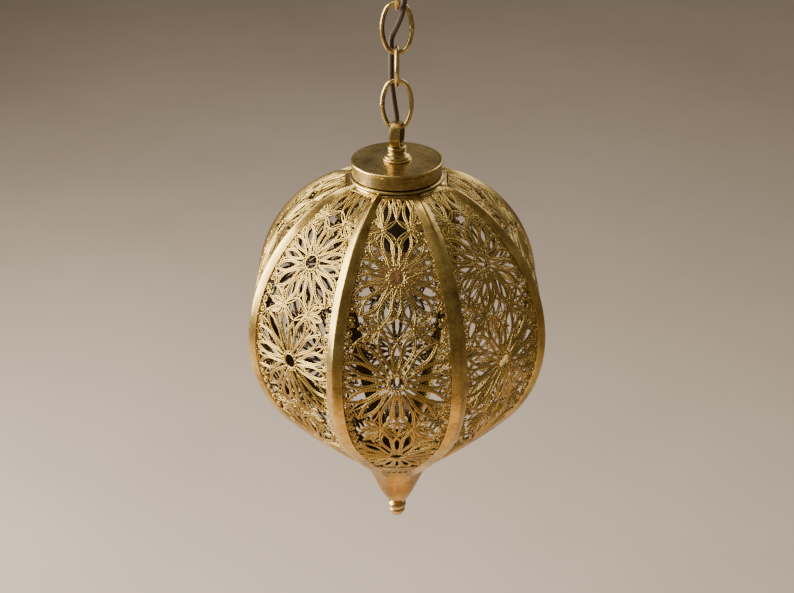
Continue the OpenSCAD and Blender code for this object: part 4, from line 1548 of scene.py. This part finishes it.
@dataclass
class SupplyCord:
    """Braided cord woven through the chain, in lengths cut at each joint."""

    diameter: float = 4.0 * MM
    route: Sequence[tuple[float, float, float]] = (
        (28, -6, -9), (26, -10, -10), (20, -14, -13), (13, -16, -18), (9, -17, -23), (8, -17, -27),
        (8, -17, -33), (8, -17, -42), (8, -15, -52), (8, -12, -62), (7, -9, -73), (6, -7, -84), (6, -6, -94),
        (5, -5, -101), (4.5, -4.4, -106), (3.6, -2.6, -111), (2, -1, -116), (0, 0, -121),
        (-2, 2, -126), (-3.5, 3.4, -130), (-4.2, 4.2, -134), (-4.2, 4.8, -140), (-4.2, 4.2, -147),
        (-4.2, 4.2, -154), (-4.2, 4.8, -161), (-3.6, 5.6, -168), (-2.6, 7, -176), (-1.6, 9.6, -184),
        (-0.6, 13, -192), (0, 16, -201), (0, 17, -210), (0, 17, -220), (0, 16.6, -229),
        (0, 14.5, -235), (0, 12, -240))
    cuts: Sequence[float] = (-61.5, -93.5, -124.5, -155.3, -185.8)
    bend_reach: float = 7 * MM

    def line(self) -> np.ndarray:
        """The route as one smooth line, with a point each third of a millimetre or so."""
        knots = np.array(self.route, float) * MM
        padded = np.vstack([2 * knots[0] - knots[1], knots, 2 * knots[-1] - knots[-2]])
        points = []
        for i in range(1, len(padded) - 2):
            p0, p1, p2, p3 = padded[i - 1:i + 3]
            for t in np.linspace(0, 1, 10, endpoint=False):
                points.append(0.5 * (2 * p1 + (p2 - p0) * t + (2 * p0 - 5 * p1 + 4 * p2 - p3) * t**2
                                     + (3 * p1 - p0 - 3 * p2 + p3) * t**3))
        points.append(knots[-1])
        return np.array(points)

    def tube(self, name: str, line: np.ndarray, sides: np.ndarray, start: float) -> bpy.types.Mesh:
        """A closed tube round a stretch of the line, with its UV along and around.

        Args:
            name: The mesh's name.
            line: Points of the stretch.
            sides: A sideways unit vector at each point.
            start: Length of cord before the stretch.

        Returns:
            The tube.
        """
        count = 20
        way = np.gradient(line, axis=0)
        way /= np.linalg.norm(way, axis=1)[:, None]
        other = np.cross(way, sides)
        turn = np.linspace(0, math.tau, count, endpoint=False)
        rings = (line[:, None] + self.diameter / 2 * (np.cos(turn)[None, :, None] * sides[:, None]
                 + np.sin(turn)[None, :, None] * other[:, None]))
        mesh = grid_mesh(name, rings, False, True)
        far = start + np.concatenate([[0], np.cumsum(np.linalg.norm(np.diff(line, axis=0), axis=1))])
        layer = mesh.uv_layers.new(name="along")
        for polygon in mesh.polygons:
            corners = [divmod(mesh.loops[k].vertex_index, count) for k in polygon.loop_indices]
            wraps = {c for _, c in corners} == {0, count - 1}
            for k, (row, column) in zip(polygon.loop_indices, corners):
                layer.data[k].uv = (far[row], (column or (count if wraps else 0)) / count)
        RibCage.cap(mesh, [tuple(range(count)), tuple(range(len(mesh.vertices) - count, len(mesh.vertices)))])
        shade(mesh, 60)
        return mesh

    def build(self, joints: Sequence[tuple[str, str, float]]) -> None:
        """Make each length of cord, one for each joint.

        Args:
            joints: (upper body, lower body, height of the joint) from the top down.
        """
        line = self.line()
        way = np.gradient(line, axis=0)
        way /= np.linalg.norm(way, axis=1)[:, None]
        sides = [np.cross(way[0], (0, 0, 1))]
        for w in way[1:]:
            side = sides[-1] - w * float(sides[-1] @ w)
            sides.append(side / np.linalg.norm(side))
        sides[0] = sides[0] / np.linalg.norm(sides[0])
        sides = np.array(sides)
        far = np.concatenate([[0], np.cumsum(np.linalg.norm(np.diff(line, axis=0), axis=1))])
        marks = [0] + [int(np.argmin(np.abs(line[:, 2] - cut * MM))) for cut in self.cuts] + [len(line) - 1]
        for k, (upper, lower, height) in enumerate(joints):
            first, last = marks[k], marks[k + 1]
            stretch = line[first:last + 1]
            name = f"cord_length_{k + 1}"
            piece = link_object(name, self.tube(name, stretch, sides[first:last + 1], far[first]))
            settle(piece, None, Braid(), Slot.CORD, "supply_cord")
            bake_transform(piece)


# ------------------------------------------------------------------------------ frame pieces and studio


def dress_frame(frame: dict) -> None:
    """Give the frame's own pieces their finishes."""
    finishes: dict[str, Finish] = {
        "rose": TURNED_BRASS,
        "rose_bushing": RUBBER, "cap_bushing": RUBBER,
        "lampholder_cap": BAKELITE, "lampholder_shell": BAKELITE, "lampholder_ring": BAKELITE,
        "lampholder_core": PORCELAIN, "terminal_block": PORCELAIN,
        "bulb_glass": AmberGlass(),
    }
    for node in frame["nodes"]:
        piece = bpy.data.objects.get(node) if isinstance(node, str) else node
        if piece is None or piece.type != "MESH":
            continue
        finish = finishes.get(piece.name, ZincSteel())
        piece.data.materials.clear()
        piece.data.materials.append(finish.material())


@dataclass
class Studio:
    """Camera, floor and lights."""

    equator_z: float
    distance: tuple[float, float] = (1046.6 * MM, 562.9 * MM)
    pitch: float = math.radians(27.6)
    focal_mm: float = 69.55
    floor_drop: float = 1.05

    def camera(self) -> None:
        """Camera at the front, looking down on the globe."""
        data = bpy.data.cameras.new("camera")
        data.lens = self.focal_mm
        data.sensor_width = 36
        camera = bpy.data.objects.new("camera", data)
        camera.location = (0, -self.distance[0], self.equator_z + self.distance[1])
        camera.rotation_euler = (math.pi / 2 - self.pitch, 0, 0)
        bpy.context.scene.collection.objects.link(camera)
        bpy.context.scene.camera = camera

    def floor(self) -> None:
        """Wide pale floor under the lantern."""
        reach = 9.0
        z = self.equator_z - self.floor_drop
        mesh = bpy.data.meshes.new("floor")
        mesh.from_pydata([(-reach, -reach, z), (reach, -reach, z), (reach, reach, z), (-reach, reach, z)], [],
                         [(0, 1, 2, 3)])
        floor = link_object("floor", mesh)
        floor.data.materials.append(Plaster().material())

    def lamp(self, name: str, place: Point3, size: tuple[float, float], power: float, colour: Colour) -> None:
        """One soft rectangular light that faces the globe.

        Args:
            name: The light's name.
            place: Its place, from the globe's equator.
            size: Width and height.
            power: Watts.
            colour: Its colour.
        """
        data = bpy.data.lights.new(name, "AREA")
        data.shape = "RECTANGLE"
        data.size, data.size_y = size
        data.energy = power
        data.color = colour
        lamp = bpy.data.objects.new(name, data)
        lamp.location = Vector(place) + Vector((0, 0, self.equator_z))
        aim = Vector((0, 0, self.equator_z)) - lamp.location
        lamp.rotation_euler = aim.to_track_quat("-Z", "Y").to_euler()
        bpy.context.scene.collection.objects.link(lamp)

    def lights(self) -> None:
        """Window on the left, weak fill on the right, a warm return from below."""
        self.lamp("window", (-2.0, 0.18, 0.62), (2.0, 2.1), 215, (1.0, 0.97, 0.90))
        self.lamp("sky", (-0.5, 0.5, 2.2), (1.1, 1.1), 20, (1.0, 0.98, 0.93))
        self.lamp("back_fill", (0.9, 1.3, 0.9), (1.0, 1.0), 8, (1.0, 0.96, 0.88))
        self.lamp("floor_return", (0.1, -0.3, -0.95), (1.2, 1.2), 2.6, (1.0, 0.50, 0.16))
        world = bpy.data.worlds.new("studio")
        world.use_nodes = True
        world.node_tree.nodes["Background"].inputs["Color"].default_value = (0.74, 0.67, 0.55, 1)
        world.node_tree.nodes["Background"].inputs["Strength"].default_value = 0.29
        bpy.context.scene.world = world

    def build(self) -> None:
        """Set everything up."""
        self.camera()
        self.floor()
        self.lights()


def main() -> None:
    """Build the lantern around the frame."""
    logging.basicConfig(level=logging.INFO, format="%(name)s: %(message)s")
    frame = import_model()
    joint_z = {j["name"]: j["pos_m"][2] for j in frame["record"]["behaviour"]["joints"] if "pos_m" in j}
    bead_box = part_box("bead_ring")
    equator_z = float(bead_box[0][2]) - BEAD_FOOT_OVER_EQUATOR
    log.info("equator at %.4f", equator_z)

    Studio(equator_z).build()
    SupplyCord().build([
        ("ceiling_rose", "link_5", joint_z["rose_loop_swing"]),
        ("link_5", "link_4", joint_z["link_5_swing"]),
        ("link_4", "link_3", joint_z["link_4_swing"]),
        ("link_3", "link_2", joint_z["link_3_swing"]),
        ("link_2", "link_1", joint_z["link_2_swing"]),
        ("link_1", "lantern_head", joint_z["lantern_swing"]),
    ])
    dress_frame(frame)
    grower = Grower()
    bow = Bow(equator_z)
    surface = PanelSurface(bow)
    Chain(grower).build()
    StrapLoop("lantern_loop", "hanger_loop", Body.HEAD, math.radians(-12.5)).build()
    StrapLoop("rose_loop_bent", "rose_loop", Body.ROSE, 0.0).build()
    TurnedPieces(equator_z).build()
    RibCage(bow, surface).build()
    Filigree(surface, grower).build()


if __name__ == "__main__":
    main()
